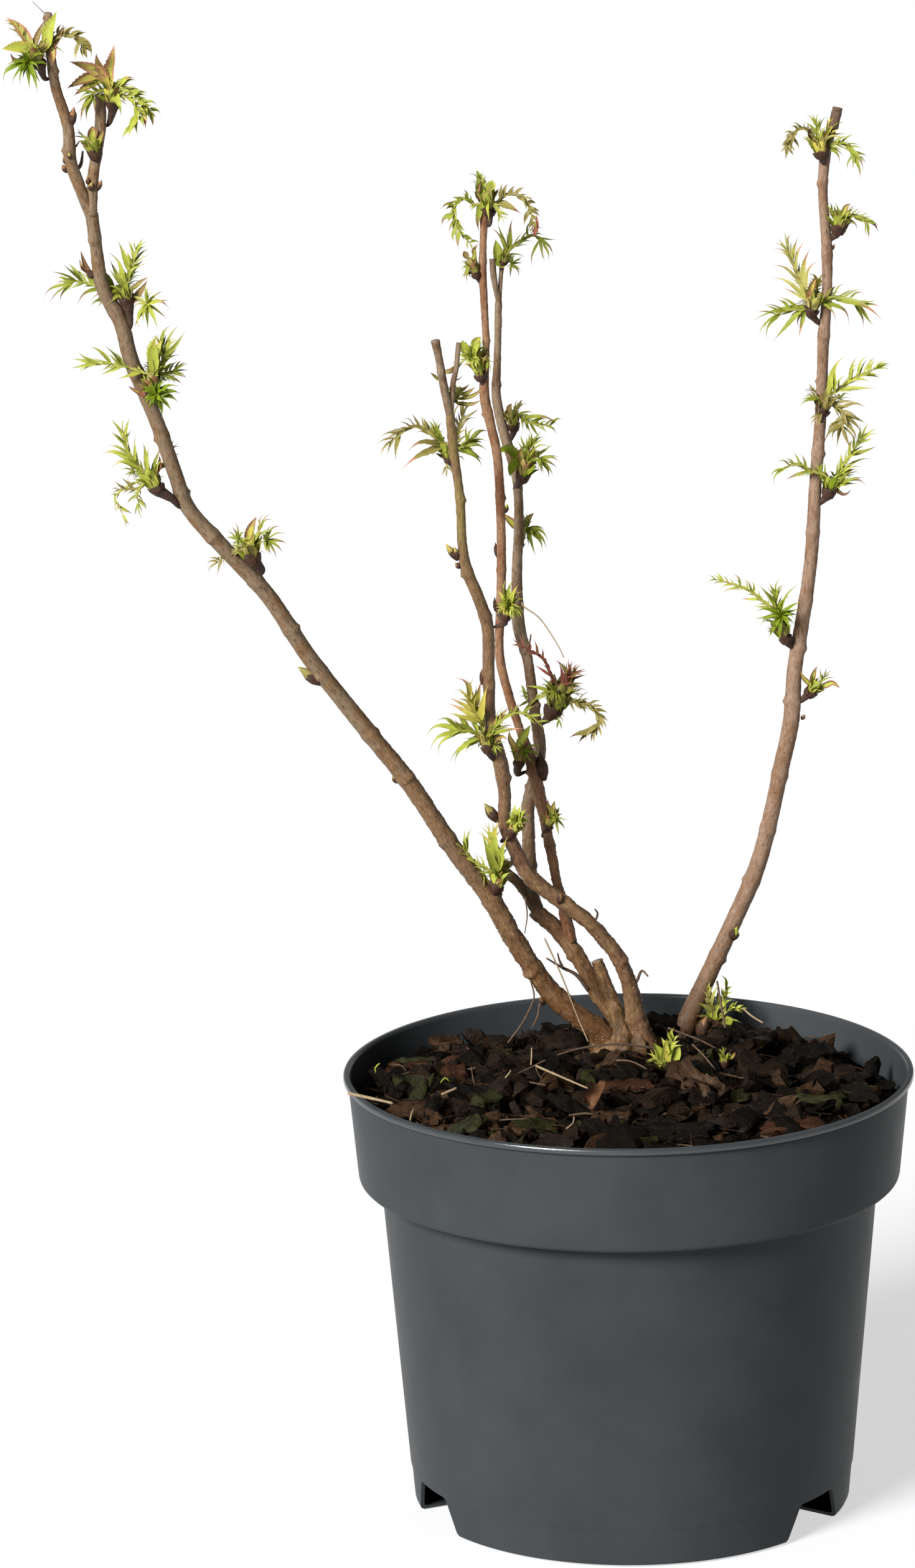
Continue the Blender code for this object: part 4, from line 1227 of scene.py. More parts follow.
@dataclass(frozen=True)
class ClosedBud:
    """A closed bud: pixels of its foot and tip, depth and width in mm, and its core's tint.

    Where a stem is near, the bud takes the stem's depth, less what it stands ahead of it.
    """

    foot: tuple[float, float]
    tip: tuple[float, float]
    depth: float
    width: float
    core: Tint = Tint.BRONZE
    ahead: float = 0.0


CLOSED_BUDS = (
    ClosedBud((114, 202), (119, 172), -24, 3.3, Tint.BRONZE),
    ClosedBud((150, 446), (141, 434), -18, 3.2, Tint.SPUR),
    ClosedBud((112, 255), (111, 245), -24, 1.8, Tint.BRACT, 2.6),
    ClosedBud((107, 264), (102, 251), -24, 2.0), ClosedBud((107, 277), (100, 264), -24, 2.2),
    ClosedBud((143, 297), (140, 284), -20, 2.0, ahead=1.5), ClosedBud((156, 306), (164, 289), -18, 2.0),
    ClosedBud((146, 306), (147, 293), -20, 2.6, Tint.BRACT, 2.0),
    ClosedBud((811, 824), (815, 810), 74, 2.2, Tint.LIME),
    ClosedBud((800, 896), (796, 872), 70, 2.4, Tint.SCALE), ClosedBud((740, 912), (731, 905), 14, 2.4),
    ClosedBud((736, 900), (716, 874), 14, 3.0, Tint.BRACT),
    ClosedBud((737, 897), (729, 878), 14, 2.0, Tint.BRACT, 1.5),
    ClosedBud((638, 1258), (631, 1243), 37, 2.6, Tint.OLIVE),
    ClosedBud((775, 1100), (776, 1072), 27, 2.6), ClosedBud((517, 1098), (479, 1072), 10, 5.2, Tint.OLIVE),
    ClosedBud((1176, 1510), (1184, 1490), 84, 4.2, Tint.LIME, 3.6),
    ClosedBud((874, 1615), (866, 1602), 40, 2.4, Tint.BRONZE),
    ClosedBud((873, 1254), (867, 1208), 58, 5.2, Tint.SCALE),
    ClosedBud((800, 1320), (778, 1291), 33, 4.2, Tint.OLIVE), ClosedBud((1336, 402), (1341, 392), 98, 1.4),
    ClosedBud((1288, 1156), (1293, 1148), 88, 1.8), ClosedBud((898, 1452), (901, 1436), 40, 2.8, ahead=2.6),
    ClosedBud((1124, 1666), (1135, 1634), 80, 5.6, Tint.BRONZE, 9.0),
    ClosedBud((1150, 1682), (1157, 1650), 77, 5.8, Tint.BRONZE, 12.0),
)


def nearest_axis(place: Vector) -> Vector:
    """The place on any stem's axis that is nearest to another place.

    Args:
        place: The place.

    Returns:
        The axis place, in metres.
    """
    rows = (row.xyz for limb in LIMBS
            for row in smooth_line([Vector(bend) * MM for bend in limb.bends], 0.002))
    return min(rows, key=lambda row: (row - place).length)


@dataclass
class Wood:
    """The stems with the relief, nodes and pores of young bark, their buds, twigs and crown."""

    step: float = 0.0010
    sides: int = 28
    relief: float = 0.00026
    buried: float = 0.190
    node_gap: tuple[float, float] = (0.018, 0.036)
    chance: random.Random = field(default_factory=lambda: random.Random(SEED + 1))

    def nodes(self, length: float) -> list[tuple[float, float]]:
        """Choose where a stem once bore leaves.

        Args:
            length: The stem's length.

        Returns:
            For each node its distance from the foot and the turn of its scar.
        """
        places = []
        run = self.chance.uniform(*self.node_gap)
        turn = self.chance.uniform(0.0, 6.28)
        while run < length - 0.004:
            places.append((run, turn))
            run += self.chance.uniform(*self.node_gap)
            turn = (turn + 2.4) % (2.0 * math.pi)
        return places

    def stem(self, limb: Limb) -> MeshBuilder:
        """Make one stem.

        Args:
            limb: Its bends and radii.

        Returns:
            The stem's mesh parts.
        """
        made = MeshBuilder()
        bends = [Vector(bend) * MM for bend in limb.bends]
        if bends[0].z < self.buried:
            bends.insert(0, bends[0] - (bends[1] - bends[0]).normalized() * 0.014)
        rows = smooth_line(bends, self.step)
        frames = carried_frames([row.xyz for row in rows])
        nodes = self.nodes(len(rows) * self.step)
        shift = self.chance.uniform(0.0, 50.0)
        forked = any(other.name.startswith(f"{limb.name}_tip") for other in LIMBS)
        before: list[int] = []
        for number, (row, (_, side, face)) in enumerate(zip(rows, frames)):
            run = number * self.step
            left = (len(rows) - number) * self.step
            close = min(1.0, 0.35 + left / 0.010) if forked else min(1.0, 0.80 + left / 0.004)
            old = min(max((0.335 - row.z) / 0.10, 0.0), 1.0) if limb.bark != 5 else 0.0
            near = [(run - at, scar) for at, scar in nodes if abs(run - at) < 0.005]
            ring = []
            for i in range(self.sides):
                turn = 2.0 * math.pi * i / self.sides
                way = side * math.cos(turn) + face * math.sin(turn)
                coarse = noise.noise(Vector((math.cos(turn), math.sin(turn), run * 60.0 + shift)))
                fine = noise.noise(row.xyz * 850.0 + way * 2.0)
                rib = noise.noise(Vector((turn * 2.2, shift, run * 60.0)))
                radius = row.w * (1.0 + 0.02 * coarse) + self.relief * (0.6 * fine + 0.3 * rib)
                knobs = noise.noise(row.xyz * 190.0 + way * 1.1)
                radius += old * (row.w * 0.12 * knobs + self.relief * 1.2 * fine)
                for gap, scar in near:
                    toward = max(math.cos(turn - scar), 0.0) ** 2
                    swell = math.exp(-(gap / 0.0019) ** 2)
                    ledge = math.exp(-((gap + 0.0008) / 0.0009) ** 2)
                    radius += row.w * 0.09 * swell + 0.00075 * toward * ledge
                grain = Vector((math.cos(turn) * row.w, math.sin(turn) * row.w, run + shift))
                ring.append(made.corner(row.xyz + way * radius * close, grain))
            if before:
                made.band(before, ring)
            else:
                made.face(tuple(reversed(ring)))
            before = ring
        made.face(tuple(before), 1)
        return made

    def pores(self) -> MeshBuilder:
        """The pale pores of the bark, low bumps that are closest at the foot."""
        made = MeshBuilder()
        for limb in LIMBS:
            rows = smooth_line([Vector(bend) * MM for bend in limb.bends], 0.001)
            frames = carried_frames([row.xyz for row in rows])
            for _ in range(int(len(rows) * 1.6)):
                number = min(int(len(rows) * self.chance.random() ** 2.2), len(rows) - 1)
                along, side, face = frames[number]
                turn = self.chance.uniform(0.0, 2.0 * math.pi)
                way = side * math.cos(turn) + face * math.sin(turn)
                span = along.cross(way)
                size = self.chance.uniform(0.00018, 0.00042) * min(1.0, rows[number].w / 0.0038)
                wide = self.chance.uniform(0.9, 1.9)
                middle = rows[number].xyz + way * (rows[number].w * 1.02)
                top = made.corner(middle + way * size * 0.7)
                ring = []
                for i in range(6):
                    angle = 2.0 * math.pi * i / 6
                    offset = along * math.cos(angle) + span * (math.sin(angle) * wide)
                    ring.append(made.corner(middle + (offset - way * 0.9) * size))
                for i in range(6):
                    made.face((top, ring[i], ring[(i + 1) % 6]))
        return made

    def crown(self) -> MeshBuilder:
        """The gnarled knob at the foot of the stems."""
        made = MeshBuilder()
        rings, around = 40, 96
        centre = Vector((-1.0, 52.0, 172.0)) * MM
        radii = Vector((14.0, 11.0, 13.5)) * MM
        before: list[int] = []
        for ring in range(rings + 1):
            rise = -0.5 * math.pi + math.pi * ring / rings
            row = []
            for i in range(around):
                turn = 2.0 * math.pi * i / around
                way = Vector((math.cos(rise) * math.cos(turn), math.cos(rise) * math.sin(turn),
                              math.sin(rise)))
                lump = 1.0 + 0.16 * noise.noise(way * 2.3) + 0.09 * noise.noise(way * 7.0)
                lump += 0.05 * noise.noise(way * 21.0)
                lump += 0.05 * math.sin(11.0 * turn) * math.cos(rise)
                row.append(made.corner(centre + Vector(
                    part * radius * lump for part, radius in zip(way, radii))))
            if before:
                made.band(before, row)
            before = row
        return made

    def twigs(self) -> MeshBuilder:
        """The dead twigs, stubs and straws."""
        made = MeshBuilder()
        for twig in TWIGS:
            count = len(twig.path) // 2
            bends = []
            for i in range(count):
                share = i / (count - 1)
                depth = (twig.depth[0] + (twig.depth[1] - twig.depth[0]) * share) * MM
                radius = (twig.radius[0] + (twig.radius[1] - twig.radius[0]) * share) * MM
                place = SIGHT.at(twig.path[2 * i], twig.path[2 * i + 1], depth)
                bends.append(Vector((*place, radius)))
            rows = smooth_line(bends, 0.0012)
            radii = [row.w * (1.0 + 0.18 * noise.noise(row.xyz * 700.0)) for row in rows]
            made.tube([row.xyz for row in rows], radii, 9, twig.finish, 2)
        return made

    def buds(self) -> MeshBuilder:
        """The closed buds, each a green core in overlapping dark scales."""
        made = MeshBuilder()
        swells = (0.50, 0.74, 0.94, 1.0, 0.97, 0.85, 0.62, 0.34, 0.08)
        for bud in CLOSED_BUDS:
            foot = SIGHT.at(*bud.foot, bud.depth * MM)
            near = nearest_axis(foot)
            depth = near.y - bud.ahead * MM if (near - foot).length < 0.010 else foot.y
            foot = SIGHT.at(*bud.foot, depth)
            tip = SIGHT.at(*bud.tip, depth - 0.001)
            run = tip - foot
            way = run.normalized()
            wide = 0.5 * bud.width * MM
            rows = [(run.length * i / 8, wide * swell) for i, swell in enumerate(swells)]
            made.tube([foot + way * rise for rise, _ in rows],
                      [radius * 0.92 for _, radius in rows], 14, bud.core.value)
            for i in range(5):
                top = 8 - (1, 3, 2, 1, 3)[i]
                made.scale(foot, way, 2.4 * i + bud.depth, rows[:top + 1], 0.95,
                           (Tint.SCALE.value, Tint.SCALE.value, Tint.SPUR.value))
        return made

    def build(self) -> None:
        """Build every stem, the crown, the pores, the twigs and the closed buds."""
        barks = [bark.make() for bark in BARKS]
        cut = Mottled("cut_wood", (0.148, 0.0962, 0.0592), (0.340, 0.266, 0.185), 900.0, 0.7).make()
        for limb in LIMBS:
            piece = self.stem(limb).piece(f"bark_{limb.name}", [barks[limb.bark], cut])
            declare(piece, (limb.name,))
        declare(self.crown().piece("bark_crown", [barks[3]]), ("root_crown",))
        pore = Mottled("pore", (0.180, 0.100, 0.0500), (0.370, 0.240, 0.135), 900.0, 0.8).make()
        declare(self.pores().piece("bark_pores", [pore]))
        dead = Mottled("dead_twig", (0.0518, 0.0296, 0.0192), (0.178, 0.118, 0.0777), 800.0, 0.7)
        straw = Mottled("straw", (0.215, 0.148, 0.0814), (0.385, 0.296, 0.185), 800.0, 0.6)
        finishes = [finish.make() for finish in LEAF_FINISHES]
        twigs = self.twigs().piece("dead_twigs", [dead.make(), straw.make(), cut, finishes[3]])
        declare(twigs)
        declare(self.buds().piece("closed_buds", finishes))


# Foliage

@dataclass(frozen=True)
class Spray:
    """One young pinnate leaf, or a fan of leaflets where its stalk is a single place.

    The stalk and the leaflets' tips are pixels. The lean is in millimetres away from the viewer
    at the stalk's end, the width is a leaflet's share of its own length, and fill is how many
    leaflets stand between those whose tips are given.
    """

    stalk: Numbers
    tips: Numbers
    tint: Tint = Tint.LIME
    edge: Tint = Tint.LIME
    lean: float = 0.0
    fill: int = 8
    width: float = 0.155


@dataclass(frozen=True)
class Bract:
    """A single broad young blade: pixels along it, its width in pixels and its tints."""

    path: Numbers
    width: float
    tint: Tint = Tint.YELLOW
    edge: Tint = Tint.PINK
    lean: float = 0.0


@dataclass(frozen=True)
class Tuft:
    """A bud and its young leaves: spur in pixels, depths in mm, urn in pixels with its size."""

    name: str
    depth: tuple[float, float]
    spur: Numbers
    urn: tuple[float, float]
    girth: float
    leaves: tuple[Spray | Bract, ...]


# The darkest green tint is painted shade, for leaves that sit in shade.
LIME, YELLOW, PALE, GREEN, DEEP, OLIVE, BRACT, PINK, BRONZE, RED, SCALE, SPUR, STALK = Tint

# The tufts of the left stem, from its foot to its tips.
LEFT_TUFTS = (
    Tuft("leaves_left_1", (38, 35), (790, 1442, 796, 1430), (802, 1408), 8.5, (
        Spray((797, 1402), (766, 1336, 771, 1327, 778, 1321, 785, 1319, 792, 1318, 799, 1317, 806, 1320,
            812, 1328, 817, 1342, 820, 1360), LIME, YELLOW, -1, 0, 0.2),
        Spray((780, 1395, 757, 1380, 745, 1366), (720, 1348, 727, 1372, 736, 1382, 747, 1332, 759, 1328,
            773, 1332, 724, 1360), LIME, LIME, -2),
        Spray((778, 1408), (755, 1393, 757, 1406, 759, 1422, 772, 1422, 785, 1425), GREEN, DEEP),
        Bract((808, 1392, 818, 1386, 821, 1396), 9, LIME, BRONZE))),
    Tuft("leaves_left_2", (5, 0), (421, 918, 408, 902), (398, 880), 9.5, (
        Bract((400, 862, 405, 845, 412, 830), 14, YELLOW, BRONZE),
        Spray((412, 862, 418, 848), (424, 826, 435, 825, 440, 835, 410, 832, 442, 850), LIME, RED, -2,
            4),
        Spray((384, 868), (370, 845, 364, 853, 360, 866, 376, 838), GREEN, BRONZE),
        Spray((428, 868), (453, 846, 463, 860, 462, 874, 455, 890, 445, 899, 436, 894), GREEN, BRONZE),
        Spray((376, 886, 362, 894, 352, 902), (336, 924, 348, 926, 361, 915, 332, 908), OLIVE, BRONZE,
            4))),
    Tuft("leaves_left_3", (-3, -8), (288, 815, 277, 802, 255, 788), (240, 764), 8.5, (
        Spray((226, 752, 205, 724, 197, 690), (176, 693, 170, 716, 166, 726, 160, 731, 176, 754, 196,
            678, 212, 690, 218, 698, 229, 711, 241, 718, 186, 684, 182, 742), LIME, PALE, 0, 12),
        Spray((214, 756), (194, 755, 198, 764, 199, 746, 204, 770), GREEN, DEEP, -3),
        Spray((226, 784, 208, 786, 190, 786), (180, 775, 193, 766, 178, 788, 204, 768), OLIVE, BRONZE,
            -4, 6),
        Spray((188, 794, 190, 812, 197, 826), (209, 844, 202, 848, 186, 824, 214, 826), LIME, BRONZE, -5,
            6),
        Spray((222, 790, 222, 808), (228, 826, 230, 837, 204, 810, 236, 818, 216, 830), GREEN, BRONZE,
            -5, 6),
        Spray((270, 740, 274, 724), (275, 707, 290, 711, 293, 718, 292, 729, 262, 712), GREEN, BRONZE, 7,
            4),
        Bract((252, 758, 257, 744, 256, 732), 9, BRONZE, RED, 2))),
    Tuft("leaves_left_4", (-11, -18), (254, 652, 247, 638), (244, 604), 8.5, (
        Spray((247, 600), (232, 556, 238, 546, 245, 540, 252, 537, 259, 536, 266, 536), LIME, YELLOW, -2,
            0, 0.22),
        Spray((252, 596, 262, 578, 259, 556), (289, 521, 298, 530, 262, 529, 248, 536, 235, 546, 231,
            558, 276, 522, 292, 546, 240, 570), LIME, YELLOW, 0, 12),
        Spray((228, 598, 204, 590, 183, 586, 152, 585), (112, 592, 116, 577, 124, 563, 142, 556, 166,
            554, 180, 566, 130, 600, 160, 604, 186, 610, 208, 574), LIME, GREEN, 3, 10),
        Spray((276, 598, 284, 590), (292, 570, 304, 585, 305, 597, 293, 618, 302, 608), GREEN, BRONZE, 6,
            5),
        Spray((250, 634), (288, 621, 291, 633, 287, 648, 276, 662, 260, 672, 240, 656, 230, 640), DEEP,
            GREEN, -4, 12, 0.26),
        Bract((232, 630, 218, 628, 205, 620), 11, BRONZE, RED, -2))),
    Tuft("leaves_left_5", (-16, -18), (209, 527, 208, 507, 205, 488), (200, 468), 8.0, (
        Spray((205, 452, 212, 428, 218, 402), (189, 386, 217, 383, 231, 380, 242, 400, 243, 408, 173,
            405, 176, 416, 174, 430, 202, 384, 240, 424), LIME, PALE, 0, 12),
        Spray((236, 488), (263, 467, 272, 482, 269, 513, 253, 531, 238, 532, 215, 528, 214, 496, 274,
            498, 226, 534), LIME, BRONZE, -4, 10),
        Bract((216, 462, 228, 452, 239, 445), 8, GREEN, BRONZE),
        Bract((212, 482, 226, 468, 237, 450), 12, OLIVE, BRONZE, -2),
        Bract((150, 441, 138, 427, 129, 402), 7, BRONZE, SCALE),
        Bract((148, 440, 134, 432, 127, 416), 6, SCALE, BRONZE, -1),
        Bract((152, 440, 151, 427, 146, 412), 6, SPUR, SCALE, 1),
        Spray((178, 462, 150, 458, 128, 452, 112, 455), (70, 482, 78, 490, 97, 487, 124, 492, 144, 485,
            80, 436, 101, 424, 126, 431, 90, 458, 150, 434), GREEN, BRONZE, 9, 12),
        Spray((168, 476, 160, 486), (155, 496, 146, 494, 168, 496), GREEN, OLIVE, 8, 3))),
    Tuft("leaves_left_6", (-23, -25), (158, 264, 154, 252), (148, 230), 7.5, (
        Bract((148, 222, 149, 212, 148, 202), 15, LIME, BRONZE),
        Spray((138, 222, 130, 216), (122, 206, 120, 214, 113, 220, 120, 228), GREEN, BRONZE, 0, 3),
        Bract((158, 226, 164, 216, 165, 207), 9, GREEN, BRONZE))),
    Tuft("leaves_left_7", (-18, -21), (174, 200, 182, 172), (178, 146), 7.5, (
        Bract((176, 118, 180, 96, 184, 71), 17, YELLOW, PINK, 1),
        Bract((166, 120, 158, 104, 154, 85), 15, YELLOW, PINK, -1),
        Bract((160, 118, 136, 106, 111, 99), 18, YELLOW, PINK, -2),
        Bract((162, 124, 136, 128, 107, 142), 19, YELLOW, BRONZE, -3),
        Bract((166, 130, 142, 138, 118, 154), 15, LIME, BRONZE, -3),
        Spray((158, 146, 146, 152), (120, 170, 130, 198, 151, 183, 124, 184, 140, 196), GREEN, BRONZE,
            -4, 6),
        Spray((185, 136, 215, 150, 243, 180), (220, 130, 236, 160, 234, 209, 250, 190, 218, 126, 204,
            172, 246, 204), LIME, BRONZE, 2, 18, 0.26),
        Spray((206, 158, 222, 178, 218, 200), (196, 224, 212, 209, 195, 188, 206, 222, 230, 196), LIME,
            GREEN, -2, 12, 0.26))),
    Tuft("leaves_left_8", (-31, -34), (72, 126, 65, 106), (54, 86), 7.5, (
        Bract((54, 82, 40, 56, 26, 40, 10, 28), 15, PALE, PINK),
        Spray((44, 74, 31, 50, 20, 38), (4, 34, 10, 44, 22, 28, 40, 36, 14, 48, 46, 50), PALE, BRONZE, 0,
            6),
        Bract((56, 80, 28, 76, 2, 79), 18, LIME, YELLOW, -2),
        Spray((46, 98), (5, 121, 5, 134, 33, 140, 60, 151, 66, 136, 18, 138, 48, 146, 8, 108), DEEP,
            GREEN, -4, 10),
        Bract((72, 72, 80, 46, 92, 17), 21, LIME, LIME),
        Bract((84, 72, 97, 52, 103, 39), 12, OLIVE, BRONZE, 2),
        Spray((82, 66, 100, 57, 120, 60, 137, 78), (122, 97, 134, 93, 106, 89, 146, 94, 112, 44, 132, 52,
            146, 72), OLIVE, LIME, 3, 18, 0.28),
        Bract((78, 72, 86, 88, 83, 107), 14, YELLOW, BRONZE, -3),
        Bract((56, 72, 64, 50, 71, 33), 10, OLIVE, BRONZE, 1),
        Bract((34, 98, 24, 96, 16, 85), 10, BRONZE, SCALE, -1))),
)

# The tufts of the right stem, from its foot to its tip.
RIGHT_TUFTS = (
    Tuft("leaves_right_1", (91, 90), (1284, 1128, 1298, 1116), (1311, 1104), 7.0, (
        Bract((1306, 1094, 1308, 1082, 1313, 1070), 9, GREEN, BRONZE),
        Spray((1318, 1096, 1324, 1086), (1328, 1072, 1338, 1078, 1343, 1090, 1318, 1072), GREEN, BRONZE,
            0, 4),
        Bract((1300, 1098, 1290, 1088, 1285, 1076), 8, LIME, BRONZE, -1),
        Bract((1324, 1102, 1338, 1098, 1350, 1106), 10, LIME, BRONZE, -1))),
    Tuft("leaves_right_2", (93, 89), (1278, 1046, 1264, 1030), (1252, 1002), 7.5, (
        Spray((1246, 984, 1225, 966, 1205, 950, 1180, 940, 1150, 931), (1136, 927, 1150, 918, 1160, 952,
            1176, 922, 1188, 962, 1200, 930, 1208, 974), LIME, PINK, 0, 14),
        Spray((1248, 976, 1246, 952), (1219, 939, 1237, 938, 1262, 938, 1286, 937, 1228, 958, 1272, 958),
            GREEN, DEEP, 1, 8),
        Spray((1256, 988), (1211, 984, 1211, 994, 1234, 1026, 1251, 1032, 1266, 1021, 1284, 989, 1291,
            968, 1276, 1006, 1220, 1010), DEEP, GREEN, -4, 8))),
    Tuft("leaves_right_3", (97, 94), (1313, 812, 1330, 796), (1336, 774), 8.0, (
        Spray((1343, 766, 1362, 738, 1385, 704), (1384, 679, 1398, 679, 1411, 690, 1412, 698, 1410, 716,
            1404, 738, 1386, 750, 1364, 704, 1350, 726, 1374, 762), LIME, LIME, 0, 14),
        Spray((1322, 762, 1302, 757, 1280, 746, 1258, 752), (1238, 770, 1245, 782, 1262, 738, 1286, 728,
            1304, 740, 1262, 772, 1282, 768), GREEN, BRONZE, -2, 10),
        Spray((1345, 780, 1360, 772), (1370, 762, 1388, 768, 1394, 783, 1380, 756), GREEN, BRONZE, -2,
            5),
        Bract((1324, 766, 1318, 756, 1322, 744), 10, DEEP, GREEN, -1),
        Bract((1350, 792, 1360, 794, 1368, 786), 6, BRONZE, SCALE, -1))),
    Tuft("leaves_right_4", (98, 93), (1318, 682, 1320, 664), (1326, 642), 8.5, (
        Spray((1336, 634, 1352, 622, 1372, 608, 1408, 592), (1350, 577, 1358, 572, 1397, 570, 1407, 575,
            1425, 578, 1430, 589, 1430, 597, 1416, 608, 1408, 624, 1378, 572, 1386, 628, 1338, 596),
            LIME, YELLOW, 0, 14),
        Spray((1312, 640, 1300, 636), (1285, 646, 1284, 654, 1296, 631, 1290, 638), GREEN, OLIVE, -1, 4),
        Spray((1340, 650, 1354, 664, 1354, 688), (1392, 657, 1392, 681, 1383, 695, 1376, 713, 1344, 721,
            1323, 718, 1366, 720, 1326, 690), OLIVE, BRONZE, -4, 10),
        Spray((1322, 658, 1316, 668), (1304, 690, 1320, 679, 1300, 676, 1312, 694), OLIVE, BRONZE, -3,
            4))),
    Tuft("leaves_right_5", (100, 98), (1316, 520, 1303, 504), (1308, 478), 8.0, (
        Spray((1300, 486, 1288, 458, 1277, 430, 1267, 402), (1259, 371, 1242, 390, 1240, 400, 1243, 407,
            1238, 426, 1238, 446, 1256, 461, 1277, 375, 1284, 380, 1294, 385, 1303, 398, 1317, 418, 1268,
            374, 1308, 446), PALE, PINK, 1, 10, 0.13),
        Spray((1292, 496, 1268, 498, 1248, 505), (1207, 517, 1213, 503, 1246, 481, 1218, 542, 1231, 548,
            1240, 550, 1283, 544, 1284, 529, 1286, 510, 1262, 534, 1226, 490), GREEN, PINK, -3, 6, 0.13),
        Spray((1318, 484, 1337, 478, 1360, 480, 1380, 490), (1384, 465, 1392, 474, 1410, 483, 1417, 494,
            1419, 517, 1404, 524, 1387, 527, 1364, 524, 1343, 520, 1360, 456, 1342, 460), GREEN, PINK, 5,
            6, 0.13),
        Bract((1304, 470, 1306, 458, 1312, 446), 10, YELLOW, BRONZE, -1))),
    Tuft("leaves_right_6", (103, 100), (1334, 386, 1346, 372), (1352, 350), 8.5, (
        Spray((1344, 344, 1336, 338), (1330, 337, 1332, 324, 1341, 323, 1324, 346), GREEN, BRONZE, -1,
            4),
        Bract((1356, 340, 1360, 332, 1367, 327), 9, LIME, BRONZE),
        Spray((1366, 346, 1384, 350, 1396, 362), (1376, 331, 1402, 349, 1411, 362, 1411, 376, 1396, 384,
            1392, 379, 1382, 334, 1376, 372), GREEN, BRONZE, -2, 8))),
    Tuft("leaves_right_7", (103, 101), (1324, 262, 1321, 250), (1318, 232), 9.0, (
        Spray((1308, 222, 1296, 208, 1280, 210, 1268, 226, 1266, 244), (1264, 256, 1276, 245, 1283, 242,
            1288, 228, 1256, 236, 1258, 216, 1272, 198), OLIVE, OLIVE, -2, 16, 0.28),
        Spray((1314, 218, 1312, 200), (1294, 183, 1305, 181, 1318, 181, 1330, 186, 1290, 196, 1332, 202),
            LIME, GREEN, 0, 8),
        Spray((1324, 222, 1338, 208), (1337, 181, 1346, 185, 1353, 195, 1362, 215, 1358, 223, 1328, 186),
            YELLOW, LIME, 1, 8),
        Spray((1330, 232, 1350, 230, 1366, 238, 1376, 252), (1368, 228, 1382, 254, 1388, 275, 1382, 289,
            1362, 274, 1349, 263, 1390, 262, 1356, 252), GREEN, OLIVE, -3, 10),
        Bract((1306, 222, 1300, 214, 1303, 204), 9, SCALE, SCALE, -2))),
)

